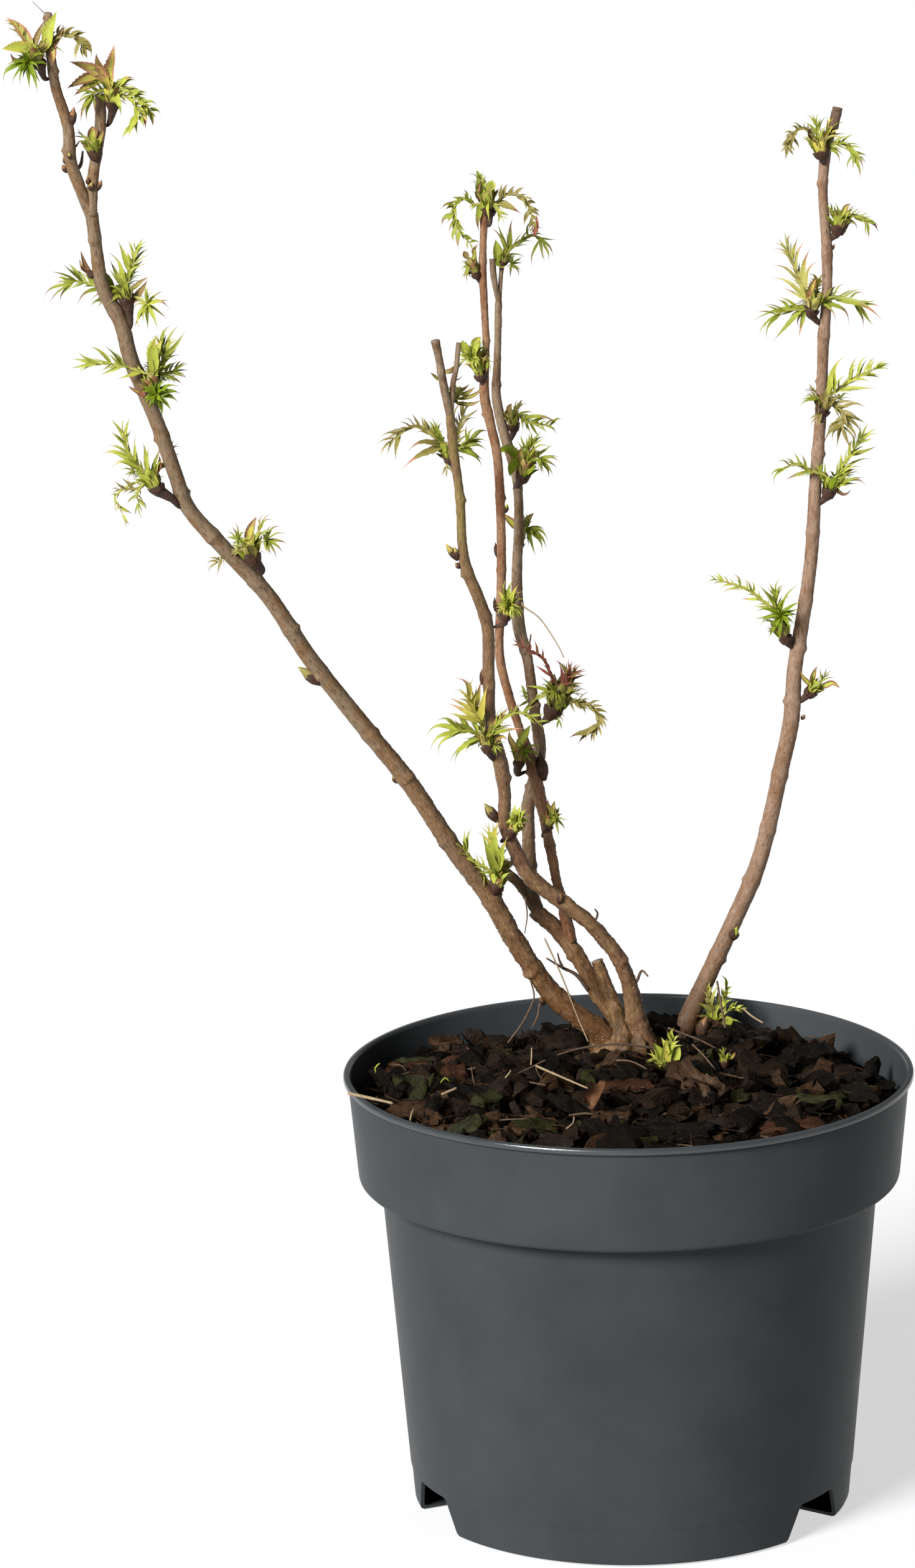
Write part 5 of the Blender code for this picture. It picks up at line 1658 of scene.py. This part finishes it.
# The tufts of the front stem, from its foot to its tips.
FRONT_TUFTS = (
    Tuft("leaves_front_1", (35, 32), (806, 1352, 820, 1342), (828, 1326), 6.0, (
        Spray((830, 1320), (815, 1306, 819, 1297, 828, 1291, 838, 1293, 847, 1300, 852, 1311, 851, 1322,
            838, 1304), LIME, LIME, -2, 16, 0.4),
        Bract((826, 1332, 836, 1330, 846, 1322), 9, GREEN, BRONZE, -2))),
    Tuft("leaves_front_2", (30, 25), (794, 1222, 786, 1206), (780, 1184), 8.0, (
        Spray((775, 1166, 764, 1144, 755, 1124), (731, 1089, 748, 1090, 762, 1089, 724, 1110, 720, 1120,
            718, 1130, 721, 1147, 785, 1097, 774, 1090, 786, 1120), YELLOW, PINK, -1, 14),
        Spray((770, 1180, 752, 1174, 738, 1172), (691, 1171, 699, 1159, 712, 1151, 684, 1186, 690, 1209,
            721, 1229, 730, 1228, 748, 1211, 704, 1220), LIME, GREEN, -3, 12),
        Spray((790, 1172, 805, 1158, 824, 1146, 848, 1148, 866, 1162), (876, 1176, 858, 1136, 838, 1130,
            870, 1150, 846, 1170, 826, 1164), GREEN, PINK, -2, 10),
        Spray((794, 1198), (808, 1214, 813, 1206, 798, 1218, 816, 1196), GREEN, DEEP, -2, 5),
        Bract((798, 1160, 806, 1150, 817, 1137), 10, BRACT, BRONZE, -1),
        Bract((796, 1188, 806, 1184, 816, 1188), 9, BRACT, BRONZE, -2))),
    Tuft("leaves_front_3", (20, 19), (806, 1004, 812, 994), (817, 974), 6.0, (
        Spray((818, 974), (798, 948, 804, 936, 814, 930, 825, 930, 834, 938, 840, 950, 843, 964, 841,
            982, 834, 996, 806, 958), LIME, YELLOW, -2, 18, 0.26),
        Spray((822, 978, 830, 984), (841, 975, 839, 996, 830, 999, 844, 986), LIME, GREEN, -2, 5),
        Spray((808, 974, 802, 982), (799, 990, 794, 978, 796, 964), YELLOW, BRONZE, -1, 4),
        Bract((802, 980, 796, 970, 795, 958), 10, SCALE, SCALE, -1))),
    Tuft("leaves_front_4", (18, 20), (732, 764, 726, 742), (720, 716), 8.0, (
        Spray((708, 712, 686, 692, 668, 685, 650, 691, 628, 708), (612, 734, 645, 755, 653, 728, 660,
            678, 680, 669, 636, 742, 622, 694, 640, 676, 612, 716), OLIVE, PINK, -2, 14),
        Spray((706, 706, 700, 690), (693, 668, 672, 717, 712, 678, 684, 676, 718, 682), GREEN, LIME, -1,
            8),
        Spray((732, 704, 740, 680, 746, 662), (771, 655, 763, 647, 750, 640, 738, 650, 728, 662, 768,
            672), OLIVE, BRONZE, 0, 10),
        Spray((744, 716, 756, 706), (783, 725, 783, 709, 777, 741, 775, 751, 765, 686, 751, 680, 786,
            694), GREEN, BRONZE, -3, 8),
        Spray((702, 724, 694, 726), (688, 723, 695, 734, 691, 707, 684, 736), GREEN, BRONZE, -2, 4),
        Spray((718, 744, 718, 754), (718, 769, 708, 766, 728, 766), OLIVE, BRONZE, -3, 3))),
    Tuft("leaves_front_5", (2, 7), (722, 652, 728, 644), (734, 634), 3.2, (
        Bract((706, 612, 698, 604, 691, 599), 5, GREEN, BRONZE, -2),
        Bract((710, 598, 726, 596, 743, 584), 9, OLIVE, PINK, -2),
        Bract((728, 612, 736, 610, 744, 603), 4, OLIVE, BRONZE),
        Bract((732, 628, 744, 626, 755, 617), 6, LIME, BRONZE),
        Bract((734, 634, 750, 632, 764, 622), 7, LIME, BRONZE),
        Bract((738, 640, 760, 636, 781, 620), 7, GREEN, BRONZE, -1),
        Bract((735, 646, 756, 650, 776, 642), 7, GREEN, BRONZE, -1))),
)

# The tufts of the red stem.
RED_TUFTS = (
    Tuft("leaves_red_1", (54, 50), (832, 1244, 833, 1230), (836, 1208), 6.5, (
        Bract((834, 1200, 842, 1184, 853, 1164), 14, LIME, GREEN),
        Bract((828, 1202, 820, 1188, 818, 1174), 10, BRACT, BRONZE, -1),
        Spray((840, 1206), (863, 1196, 872, 1203, 870, 1221, 845, 1234, 858, 1230, 828, 1222), GREEN,
            DEEP, -4, 8))),
    Tuft("leaves_red_2", (62, 61), (780, 632, 774, 608), (760, 568), 7.5, (
        Spray((758, 574), (737, 562, 738, 551, 746, 545, 757, 549, 768, 543, 778, 547, 784, 556), LIME,
            GREEN, -2, 16, 0.3),
        Bract((752, 566, 745, 554, 744, 546), 15, LIME, GREEN, -1),
        Bract((762, 562, 766, 550, 773, 541), 15, YELLOW, GREEN),
        Spray((772, 566, 780, 560), (777, 552, 783, 561, 788, 572, 770, 546), LIME, GREEN, 0, 4),
        Spray((784, 580), (793, 572, 795, 583, 789, 599, 780, 602), GREEN, BRONZE, -2, 5),
        Spray((742, 582, 732, 588), (720, 595, 722, 584, 730, 600), GREEN, OLIVE, -1, 3))),
    Tuft("leaves_red_3", (66, 67), (786, 362, 785, 344), (782, 314), 8.0, (
        Bract((786, 306, 790, 298, 791, 289), 16, GREEN, LIME),
        Bract((774, 308, 770, 298, 772, 288), 14, LIME, GREEN),
        Spray((766, 330, 748, 320, 732, 330, 730, 350, 740, 372, 756, 392), (725, 318, 718, 325, 708,
            337, 727, 363, 710, 364, 721, 374, 731, 390, 736, 400, 769, 352, 770, 373, 758, 402, 744,
            304), GREEN, BRONZE, -4, 22, 0.28),
        Spray((796, 326, 812, 314, 830, 313, 846, 324, 854, 345, 856, 372), (806, 293, 817, 294, 828,
            298, 838, 307, 858, 320, 868, 342, 838, 344, 842, 364, 818, 332), OLIVE, BRONZE, 1, 22,
            0.28),
        Spray((800, 338, 806, 350), (819, 347, 798, 358, 787, 363, 812, 360), LIME, GREEN, -4, 6),
        Bract((857, 380, 863, 364, 862, 344), 7, RED, RED, -1),
        Bract((774, 320, 768, 312, 773, 288), 9, BRONZE, SCALE, -1))),
    Tuft("leaves_red_4", (65, 64), (774, 458, 766, 444), (757, 420), 5.5, (
        Bract((754, 418, 748, 410, 745, 403), 10, OLIVE, BRONZE),
        Bract((762, 412, 762, 402, 768, 392), 8, GREEN, BRONZE),
        Spray((752, 428, 750, 438), (746, 450, 750, 456, 741, 436, 758, 450, 738, 424), GREEN, BRONZE,
            -1, 6))),
    Tuft("leaves_red_5", (55, 52), (872, 1344, 880, 1330), (886, 1312), 6.0, (
        Bract((884, 1302, 880, 1294, 880, 1284), 8, GREEN, BRONZE),
        Bract((888, 1302, 890, 1294, 891, 1286), 8, LIME, BRONZE),
        Spray((892, 1314), (914, 1320, 906, 1316, 898, 1346, 886, 1336, 908, 1334), GREEN, DEEP, -3,
            6))),
)

# The tufts of the grey stem.
GREY_TUFTS = (
    Tuft("leaves_grey_1", (67, 64), (868, 1164, 886, 1148), (902, 1106), 10.5, (
        Spray((912, 1098, 916, 1086), (889, 1060, 905, 1064, 922, 1067, 936, 1067, 944, 1080, 942, 1088,
            939, 1098), OLIVE, RED, 0, 4),
        Spray((914, 1090, 920, 1080), (896, 1062, 912, 1062, 930, 1066, 942, 1074, 944, 1084), RED, RED,
            -1, 10),
        Spray((894, 1112), (866, 1086, 860, 1120, 878, 1132, 864, 1104, 888, 1134), GREEN, DEEP, -5, 8),
        Spray((888, 1092, 875, 1062, 855, 1047, 834, 1036), (855, 1027, 822, 1024, 840, 1048, 820, 1036,
            872, 1040, 858, 1068), RED, RED, -12, 10),
        Spray((916, 1126, 938, 1130, 956, 1142, 962, 1162, 950, 1180), (936, 1102, 949, 1111, 967, 1128,
            974, 1154, 913, 1187, 928, 1197, 940, 1192, 940, 1150, 960, 1186), OLIVE, BRONZE, -5, 18,
            0.24),
        Spray((896, 1148, 900, 1160), (895, 1174, 902, 1175, 909, 1155, 888, 1164), GREEN, BRONZE, -4,
            4),
        Spray((856, 1124, 842, 1122), (832, 1120, 835, 1158, 838, 1104, 828, 1138), GREEN, BRONZE, 6,
            5))),
    Tuft("leaves_grey_2", (82, 84), (830, 896, 834, 878), (838, 852), 5.5, (
        Bract((830, 848, 820, 838, 806, 824), 12, LIME, BRONZE),
        Bract((844, 842, 850, 832, 858, 824), 11, GREEN, BRONZE),
        Spray((848, 848), (868, 849, 876, 856, 881, 872, 878, 883, 871, 887, 861, 896, 850, 880), GREEN,
            DEEP, -4, 8))),
    Tuft("leaves_grey_3", (77, 73), (826, 786, 838, 771), (846, 744), 8.0, (
        Bract((840, 740, 838, 728, 841, 716), 12, BRACT, BRONZE),
        Bract((852, 740, 856, 728, 858, 716), 12, BRACT, BRONZE),
        Spray((848, 728, 854, 712), (838, 693, 850, 693, 833, 698, 829, 706, 868, 699, 890, 711, 889,
            720, 878, 704), GREEN, LIME, 0, 12),
        Bract((832, 734, 814, 722, 795, 729), 17, DEEP, GREEN, -4),
        Bract((832, 744, 822, 754, 819, 766), 17, DEEP, GREEN, -5),
        Bract((848, 744, 852, 752, 848, 764), 16, GREEN, DEEP, -5),
        Spray((866, 736), (899, 735, 896, 753, 889, 765, 881, 770, 900, 744, 872, 764), GREEN, BRONZE,
            -3, 8))),
    Tuft("leaves_grey_4", (79, 79), (820, 708, 826, 690), (822, 668), 6.5, (
        Bract((820, 662, 819, 656, 822, 648), 10, OLIVE, BRONZE),
        Spray((830, 664, 844, 676, 868, 682, 886, 684), (894, 700, 868, 704, 898, 684, 880, 668, 858,
            664, 848, 694), GREEN, BRONZE, 0, 10))),
    Tuft("leaves_grey_5", (89, 88), (804, 436, 808, 424), (813, 413), 4.5, (
        Spray((820, 400, 838, 387, 856, 378, 872, 390), (798, 356, 786, 364, 824, 348, 828, 407, 845,
            414, 855, 430, 873, 421, 881, 420, 889, 414, 866, 362), GREEN, BRONZE, -2, 8, 0.13),
        Bract((806, 422, 800, 404, 796, 384), 17, LIME, GREEN, 2),
        Spray((822, 424), (841, 422, 838, 437, 832, 447, 820, 449, 827, 404, 842, 410), GREEN, BRONZE,
            -2, 8),
        Bract((812, 404, 814, 396, 820, 388), 7, GREEN, BRONZE))),
)

# The shoots that come up out of the mulch.
SHOOT_TUFTS = (
    Tuft("shoots_1", (82, 80), (1148, 1668, 1148, 1650), (1148, 1634), 7.5, (
        Spray((1146, 1626, 1140, 1606, 1138, 1594), (1129, 1587, 1123, 1600, 1143, 1576, 1156, 1580,
            1119, 1611, 1132, 1576), PALE, LIME, 0, 14, 0.26),
        Spray((1154, 1620, 1164, 1600, 1168, 1586), (1156, 1567, 1163, 1570, 1173, 1577, 1180, 1594,
            1178, 1606, 1152, 1590), LIME, PALE, -1, 14, 0.26),
        Spray((1156, 1636, 1172, 1622, 1188, 1622), (1192, 1632, 1196, 1614, 1180, 1610, 1184, 1640),
            LIME, GREEN, -2, 10, 0.3),
        Spray((1160, 1646, 1184, 1656), (1207, 1660, 1200, 1672, 1196, 1648, 1180, 1668), GREEN, LIME,
            -3, 10, 0.3),
        Spray((1138, 1642, 1122, 1650), (1109, 1645, 1117, 1662, 1112, 1634), GREEN, BRONZE, -2, 5),
        Bract((1140, 1648, 1134, 1654, 1128, 1656), 8, BRONZE, SCALE, -3),
        Bract((1150, 1650, 1154, 1644, 1156, 1638), 8, BRONZE, SCALE, -3))),
    Tuft("shoots_2", (24, 24), (1074, 1740, 1074, 1726), (1073, 1712), 4.5, (
        Spray((1074, 1706, 1076, 1690, 1080, 1674), (1085, 1650, 1094, 1664, 1072, 1655, 1098, 1680,
            1062, 1666), LIME, GREEN, 0, 12, 0.34),
        Bract((1074, 1716, 1062, 1694, 1050, 1676), 16, LIME, GREEN, -1),
        Bract((1076, 1716, 1086, 1696, 1092, 1678), 15, LIME, LIME, -1),
        Bract((1072, 1718, 1070, 1696, 1070, 1670), 16, YELLOW, LIME, -2),
        Bract((1068, 1720, 1056, 1708, 1044, 1704), 13, LIME, GREEN, -2),
        Spray((1066, 1708, 1050, 1700), (1036, 1692, 1039, 1710, 1044, 1686), LIME, GREEN, -2, 6),
        Bract((1080, 1714, 1090, 1712, 1098, 1704), 7, GREEN, BRONZE, -2))),
    Tuft("shoots_3", (27, 27), (1166, 1722, 1165, 1712), (1164, 1702), 5.0, (
        Spray((1162, 1698, 1160, 1690), (1159, 1680, 1152, 1686, 1168, 1682), GREEN, LIME, 0, 4),
        Bract((1168, 1702, 1176, 1698, 1182, 1690), 6, GREEN, BRONZE, -1))),
)


def graded(tint: Tint, edge: Tint) -> tuple[int, int, int]:
    """The finishes from a blade's body to its tip, with a tint between them.

    Args:
        tint: The body's tint.
        edge: The tip's tint.

    Returns:
        The numbers of three finishes.
    """
    between = tint
    if edge in (Tint.BRONZE, Tint.PINK, Tint.RED) and tint != edge:
        between = Tint.OLIVE if tint in (Tint.GREEN, Tint.DEEP, Tint.OLIVE) else Tint.BRACT
    return tint.value, between.value, edge.value


@dataclass
class Foliage:
    """The buds on their spurs, with the young leaves that unfold from them."""

    pixel: float = 0.00025
    hidden_sprays: int = 5
    ruff_leaflets: int = 16
    density: float = 1.5
    chance: random.Random = field(default_factory=lambda: random.Random(SEED + 2))
    leaflet_style: LaminaStyle = LaminaStyle(0.60, 1.80, 0.08, 0.38, 0.0, 0.5, 1, 0.50, 0.74)
    bract_style: LaminaStyle = LaminaStyle(0.60, 1.25, 0.07, 0.45, 0.12, 0.8, 2, 0.66, 0.86, True)
    web_style: LaminaStyle = LaminaStyle(0.45, 0.80, 0.30, 0.35, 0.20, 1.2, 1, 0.80, 0.92)

    def face(self, toward: float = 0.75) -> Vector:
        """A direction for an upper side: towards the viewer and the sky, by chance uneven."""
        return (TOWARDS_VIEWER * toward + UPWARDS * 0.60 + Vector((
            self.chance.gauss(-0.22, 0.28), self.chance.gauss(0.0, 0.25),
            self.chance.gauss(0.0, 0.25)))).normalized()

    def leaflet(self, made: MeshBuilder, base: Vector, tip: Vector, face: Vector, width: float,
                tints: tuple[Tint, Tint]) -> None:
        """Add one toothed, folded leaflet that bows and ends in a drawn-out tip.

        Args:
            made: The piece that it joins.
            base: Where it starts.
            tip: Where it ends.
            face: The direction that its upper side looks in.
            width: Its width as a share of its length.
            tints: The tints of its body and of its end.
        """
        run = tip - base
        along = run.normalized()
        up = across(face, along)
        bow = up * self.chance.uniform(0.02, 0.12)
        bow = (bow + across(UPWARDS, along) * self.chance.uniform(-0.05, 0.20)) * run.length
        rows = 12
        spine = []
        for row in range(rows + 1):
            share = row / rows
            spine.append(base + run * share + bow * math.sin(math.pi * share ** 1.4))
        made.lamina(spine, up, 0.5 * width * run.length, self.leaflet_style, graded(*tints))

    def leaflets(self, made: MeshBuilder, line: list[Vector], spray: Spray) -> list[float]:
        """Add the leaflets whose tips are given.

        Args:
            made: The piece that they join.
            line: Places along the leaf's stalk.
            spray: The leaf.

        Returns:
            The leaflets' lengths.
        """
        lengths = []
        fan = len(spray.stalk) == 2
        for x, y in zip(spray.tips[::2], spray.tips[1::2]):
            best = line[-1]
            if not fan:
                best_score = math.inf
                for behind, place in zip(line, line[1:]):
                    reach = SIGHT.at(x, y, place.y) - place
                    if reach.length < 0.001:
                        continue
                    turn = reach.angle((place - behind).normalized())
                    score = abs(turn - 0.62) + reach.length / 0.032
                    if score < best_score:
                        best, best_score = place, score
            flat = (SIGHT.at(x, y, best.y) - best).length
            tip = SIGHT.at(x, y, best.y + flat * self.chance.uniform(-0.55, 0.35))
            edge = spray.edge if self.chance.random() < 0.7 else spray.tint
            self.leaflet(made, best, tip, self.face(), spray.width * self.chance.uniform(0.8, 1.2),
                         (spray.tint, edge))
            lengths.append(flat)
        return lengths

    def filling(self, made: MeshBuilder, line: list[Vector], spray: Spray, mean: float) -> None:
        """Add the leaflets between those whose tips are given.

        Args:
            made: The piece that they join.
            line: Places along the leaf's stalk.
            spray: The leaf.
            mean: The other leaflets' mean length.
        """
        fan = len(spray.stalk) == 2
        count = round(spray.fill * self.density)
        for number in range(count):
            share = 1.0 if fan else 0.12 + 0.88 * (number + 0.5) / count
            at = max(1, min(int(share * (len(line) - 1)), len(line) - 1))
            along = (line[at] - line[at - 1]).normalized()
            side = along.cross(TOWARDS_VIEWER).normalized()
            if fan:
                turn = 2.0 * math.pi * number / count
                way = side * math.cos(turn) + UPWARDS * math.sin(turn)
                way = way * 0.7 + TOWARDS_VIEWER * self.chance.uniform(-0.2, 1.1)
            else:
                sign = 1.0 if number % 2 else -1.0
                way = along * 0.85 + side * sign * self.chance.uniform(0.20, 0.70)
                way = way + TOWARDS_VIEWER * self.chance.uniform(-0.6, 0.7)
            reach = mean * self.chance.uniform(0.55, 0.90)
            self.leaflet(made, line[at], line[at] + way.normalized() * reach, self.face(),
                         spray.width * self.chance.uniform(0.8, 1.25), (spray.tint, spray.tint))

    def spray(self, made: MeshBuilder, spray: Spray, heart: Vector) -> None:
        """Add one pinnate leaf or fan.

        Args:
            made: The piece that it joins.
            spray: The leaf.
            heart: The middle of the bud that it comes from.
        """
        count = len(spray.stalk) // 2
        places = [heart]
        for i in range(count):
            depth = heart.y + spray.lean * MM * (i + 1) / count
            places.append(SIGHT.at(spray.stalk[2 * i], spray.stalk[2 * i + 1], depth))
        line = smooth_line(places, 0.0009)
        radii = [0.00042 * (1.0 - 0.65 * i / len(line)) for i in range(len(line))]
        made.tube(line, radii, 6, Tint.STALK.value if spray.tint != Tint.RED else Tint.RED.value)
        lengths = self.leaflets(made, line, spray)
        mean = max(sum(lengths) / len(lengths), 0.16 * 0.0009 * len(line))
        self.filling(made, line, spray, mean)
        if count > 1:
            made.lamina(even_line(line, 18), self.face(1.0), min(0.12 * mean, 0.0008), self.web_style,
                        graded(spray.tint, spray.edge))

    def bract(self, made: MeshBuilder, bract: Bract, heart: Vector) -> None:
        """Add one broad blade.

        Args:
            made: The piece that it joins.
            bract: The blade.
            heart: The middle of the bud that it comes from.
        """
        count = len(bract.path) // 2
        places = []
        for i in range(count):
            depth = heart.y + bract.lean * MM * i / (count - 1)
            places.append(SIGHT.at(bract.path[2 * i], bract.path[2 * i + 1], depth))
        if 0.0015 < (places[0] - heart).length < 0.008:
            places.insert(0, heart)
        spine = even_line(smooth_line(places, 0.0005), 21)
        half = 0.5 * bract.width * self.pixel / math.cos(self.bract_style.fold)
        made.lamina(spine, self.face(1.6), half, self.bract_style, graded(bract.tint, bract.edge))

    def urn(self, made: MeshBuilder, base: Vector, heart: Vector, girth: float,
            tints: list[Tint]) -> None:
        """Add the open bud: a core in hugging green bracts, cupped by dark scales.

        Args:
            made: The piece that it joins.
            base: Its lower end.
            heart: Its middle.
            girth: Its width.
            tints: The bracts' tints to choose from.
        """
        way = (heart - base).normalized()
        height = max((heart - base).length, 0.6 * girth)
        wide = 0.5 * girth
        low = heart - way * height
        rises = (0.0, 0.15, 0.35, 0.65, 1.0, 1.2)
        swells = (0.50, 0.60, 0.68, 0.72, 0.60, 0.15)
        made.tube([low + way * height * rise for rise in rises],
                  [wide * swell for swell in swells], 12, Tint.OLIVE.value)
        for i in range(13):
            inner = i < 8
            bottom = 0.1 * height if inner else -0.15 * girth
            top = girth * self.chance.uniform(0.25, 0.60)
            flare = self.chance.uniform(0.0, 0.2)
            if inner:
                top = height + girth * self.chance.uniform(-0.15, 0.50)
                flare = self.chance.uniform(-0.15, 0.50)
            wall = 0.76 + 0.01 * i
            profile = []
            for row in range(7):
                share = row / 6
                bulge = (0.72 + 0.28 * math.sin(0.5 * math.pi * min(1.6 * share, 1.0))) * wall
                profile.append((bottom + (top - bottom) * share,
                                wide * (bulge + flare * share ** 3)))
            tint, edge = Tint.SCALE, self.chance.choice((Tint.SPUR, Tint.SCALE))
            if inner:
                tint = self.chance.choice(tints)
                edge = self.chance.choice((Tint.BRONZE, tint, tint, tint, tint))
            made.scale(low, way, 2.4 * i, profile, 0.80, graded(tint, edge))
        side = way.orthogonal().normalized()
        face = way.cross(side)
        for i in range(self.ruff_leaflets):
            out = side * math.cos(2.4 * i) + face * math.sin(2.4 * i)
            foot = low + way * height * self.chance.uniform(0.2, 0.8) + out * wide * 0.6
            ahead = way * self.chance.uniform(0.5, 1.0) + out * self.chance.uniform(0.2, 0.8)
            tip = foot + ahead.normalized() * girth * self.chance.uniform(0.6, 1.15)
            tint = self.chance.choice(tints)
            self.leaflet(made, foot, tip, way + TOWARDS_VIEWER * 0.7, 0.32, (tint, tint))

    def spur(self, made: MeshBuilder, places: list[Vector], girth: float) -> None:
        """Add the short woody spur that widens from the stem to the cup of the bud.

        Args:
            made: The piece that it joins.
            places: Its bends from the stem to the bud.
            girth: The bud's width.
        """
        line = smooth_line(places, 0.0005)
        radii = []
        for i, place in enumerate(line):
            share = i / len(line)
            uneven = 1.0 + 0.16 * noise.noise(place * 420.0) + 0.10 * noise.noise(place * 1300.0)
            radii.append(girth * (0.03 + 0.31 * share) * uneven)
        made.tube(line, radii, 14, Tint.SPUR.value)

    def hidden(self, made: MeshBuilder, heart: Vector, reach: float, tints: list[Tint]) -> None:
        """Add leaves on the side that the photograph doesn't show.

        Args:
            made: The piece that they join.
            heart: The middle of the bud.
            reach: How far the tuft's leaves reach.
            tints: The tints to choose from.
        """
        for _ in range(self.hidden_sprays if reach > 0.008 else 2):
            out = Vector((self.chance.gauss(0.0, 0.35), 1.0,
                          self.chance.gauss(-0.10, 0.30))).normalized()
            length = reach * self.chance.uniform(0.50, 0.85)
            places = [heart, heart + out * length * 0.5, heart + out * length]
            line = smooth_line(places, 0.0009)
            radii = [0.00055 * (1.0 - 0.7 * i / len(line)) for i in range(len(line))]
            made.tube(line, radii, 5, Tint.STALK.value)
            tint = self.chance.choice(tints)
            side = out.cross(UPWARDS).normalized()
            for number in range(13):
                share = 0.30 + 0.70 * number / 12
                place = line[int(share * (len(line) - 1))]
                sign = (0.0 if number == 12 else 1.0) * (1.0 if number % 2 else -1.0)
                way = (out * 0.8 + side * sign * self.chance.uniform(0.5, 0.9)
                       + UPWARDS * self.chance.uniform(-0.3, 0.4)).normalized()
                size = 0.45 * length * self.chance.uniform(0.75, 1.1)
                up = across(UPWARDS + out * 0.3, way)
                self.leaflet(made, place, place + way * size, up, 0.28, (tint, tint))

    def tuft(self, made: MeshBuilder, tuft: Tuft) -> None:
        """Add one tuft.

        Args:
            made: The piece that it joins.
            tuft: Its spur, bud and leaves.
        """
        foot, depth = (value * MM for value in tuft.depth)
        count = len(tuft.spur) // 2
        places = []
        for i in range(count):
            share = i / (count - 1)
            places.append(SIGHT.at(tuft.spur[2 * i], tuft.spur[2 * i + 1],
                                   foot + (depth - foot) * share))
        near = nearest_axis(places[0])
        if (near - places[0]).length < 0.010:
            places.insert(0, near)
        heart = SIGHT.at(*tuft.urn, depth)
        girth = tuft.girth * MM
        tints = [leaf.tint for leaf in tuft.leaves if leaf.tint.value < Tint.PINK.value]
        self.spur(made, [*places, places[-1].lerp(heart, 0.3)], girth)
        self.urn(made, places[-1], heart, 0.85 * girth, [*tints, Tint.OLIVE])
        reaches = []
        for leaf in tuft.leaves:
            if isinstance(leaf, Spray):
                self.spray(made, leaf, heart)
                reaches += [(SIGHT.at(x, y, depth) - heart).length
                            for x, y in zip(leaf.tips[::2], leaf.tips[1::2])]
            else:
                self.bract(made, leaf, heart)
                reaches.append((SIGHT.at(*leaf.path[-2:], depth) - heart).length)
        self.hidden(made, heart, sum(reaches) / len(reaches), tints)

    def build(self) -> None:
        """Build the foliage, one piece for each stem."""
        finishes = [finish.make() for finish in LEAF_FINISHES]
        groups = {"left": LEFT_TUFTS, "right": RIGHT_TUFTS, "front": FRONT_TUFTS,
                  "red": RED_TUFTS, "grey": GREY_TUFTS, "shoots": SHOOT_TUFTS}
        for group, tufts in groups.items():
            made = MeshBuilder()
            for tuft in tufts:
                self.tuft(made, tuft)
            piece = made.piece(f"foliage_{group}", finishes)
            declare(piece, tuple(tuft.name for tuft in tufts))


# Studio

@dataclass(frozen=True)
class Studio:
    """Pale floor, soft light from the front left and the photograph's camera."""

    sensor: float = 36.0
    dim: float = 0.14
    aim: tuple[float, float, float] = (0.0, 0.0, 0.25)
    key_place: tuple[float, float, float] = (-1.35, -1.75, 1.55)
    key: float = 8.2
    spread: float = 22.0

    def camera(self) -> None:
        """Place the camera."""
        forward, right, up = SIGHT.axes()
        data = bpy.data.cameras.new("camera")
        data.sensor_fit = "VERTICAL"
        data.sensor_height = self.sensor
        data.lens = SIGHT.focal_pixels * self.sensor / IMAGE_HEIGHT
        data.clip_end = 20.0
        camera = bpy.data.objects.new("camera", data)
        bpy.context.scene.collection.objects.link(camera)
        turn = Matrix((right, up, -forward)).transposed().to_4x4()
        camera.matrix_world = Matrix.Translation(SIGHT.eye()) @ turn
        bpy.context.scene.camera = camera

    def light(self) -> None:
        """Add the key light, soft and far away at the front left."""
        data = bpy.data.lights.new("key", "SUN")
        data.energy = self.key
        data.angle = math.radians(self.spread)
        lamp = bpy.data.objects.new("key", data)
        bpy.context.scene.collection.objects.link(lamp)
        aim = Vector(self.aim) - Vector(self.key_place)
        lamp.matrix_world = (Matrix.Translation(self.key_place)
                             @ aim.to_track_quat("-Z", "Y").to_matrix().to_4x4())

    def world(self) -> None:
        """A room that is pale at the height of the eye and dimmer above."""
        world = bpy.data.worlds.new("studio")
        world.use_nodes = True
        tree = world.node_tree
        background = tree.nodes["Background"]
        way = tree.nodes.new("ShaderNodeTexCoord").outputs["Generated"]
        weave = Weave(tree)
        level = weave.math("ABSOLUTE", weave.part(way, "Z"), 0.0)
        shade = weave.span(level, 0.02, 0.18, 0.70, self.dim)
        background.inputs["Color"].default_value = (1.0, 1.0, 1.0, 1.0)
        tree.links.new(shade, background.inputs["Strength"])
        bpy.context.scene.world = world

    def build(self) -> None:
        """Build floor, lights, world and camera."""
        deselect_all()
        bpy.ops.mesh.primitive_plane_add(size=30.0, location=(0.0, 0.0, -0.0005))
        floor = bpy.context.active_object
        floor.name = "floor"
        material, _, shader = new_material("floor_pale")
        shader.inputs["Base Color"].default_value = (0.26, 0.26, 0.26, 1.0)
        shader.inputs["Roughness"].default_value = 0.9
        shader.inputs["Specular IOR Level"].default_value = 0.0
        shader.inputs["Emission Color"].default_value = (1.0, 1.0, 1.0, 1.0)
        shader.inputs["Emission Strength"].default_value = 0.62
        floor.data.materials.append(material)
        self.world()
        self.light()
        bpy.context.scene.view_settings.view_transform = "Standard"
        self.camera()


def main() -> None:
    """Build everything in order."""
    logging.basicConfig(level=logging.INFO, format="%(message)s")
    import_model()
    bpy.context.view_layer.update()
    deselect_all()
    Pot().build()
    Mulch().build()
    Wood().build()
    Foliage().build()
    Studio().build()
    deselect_all()
    bpy.context.view_layer.update()


if __name__ == "__main__":
    main()
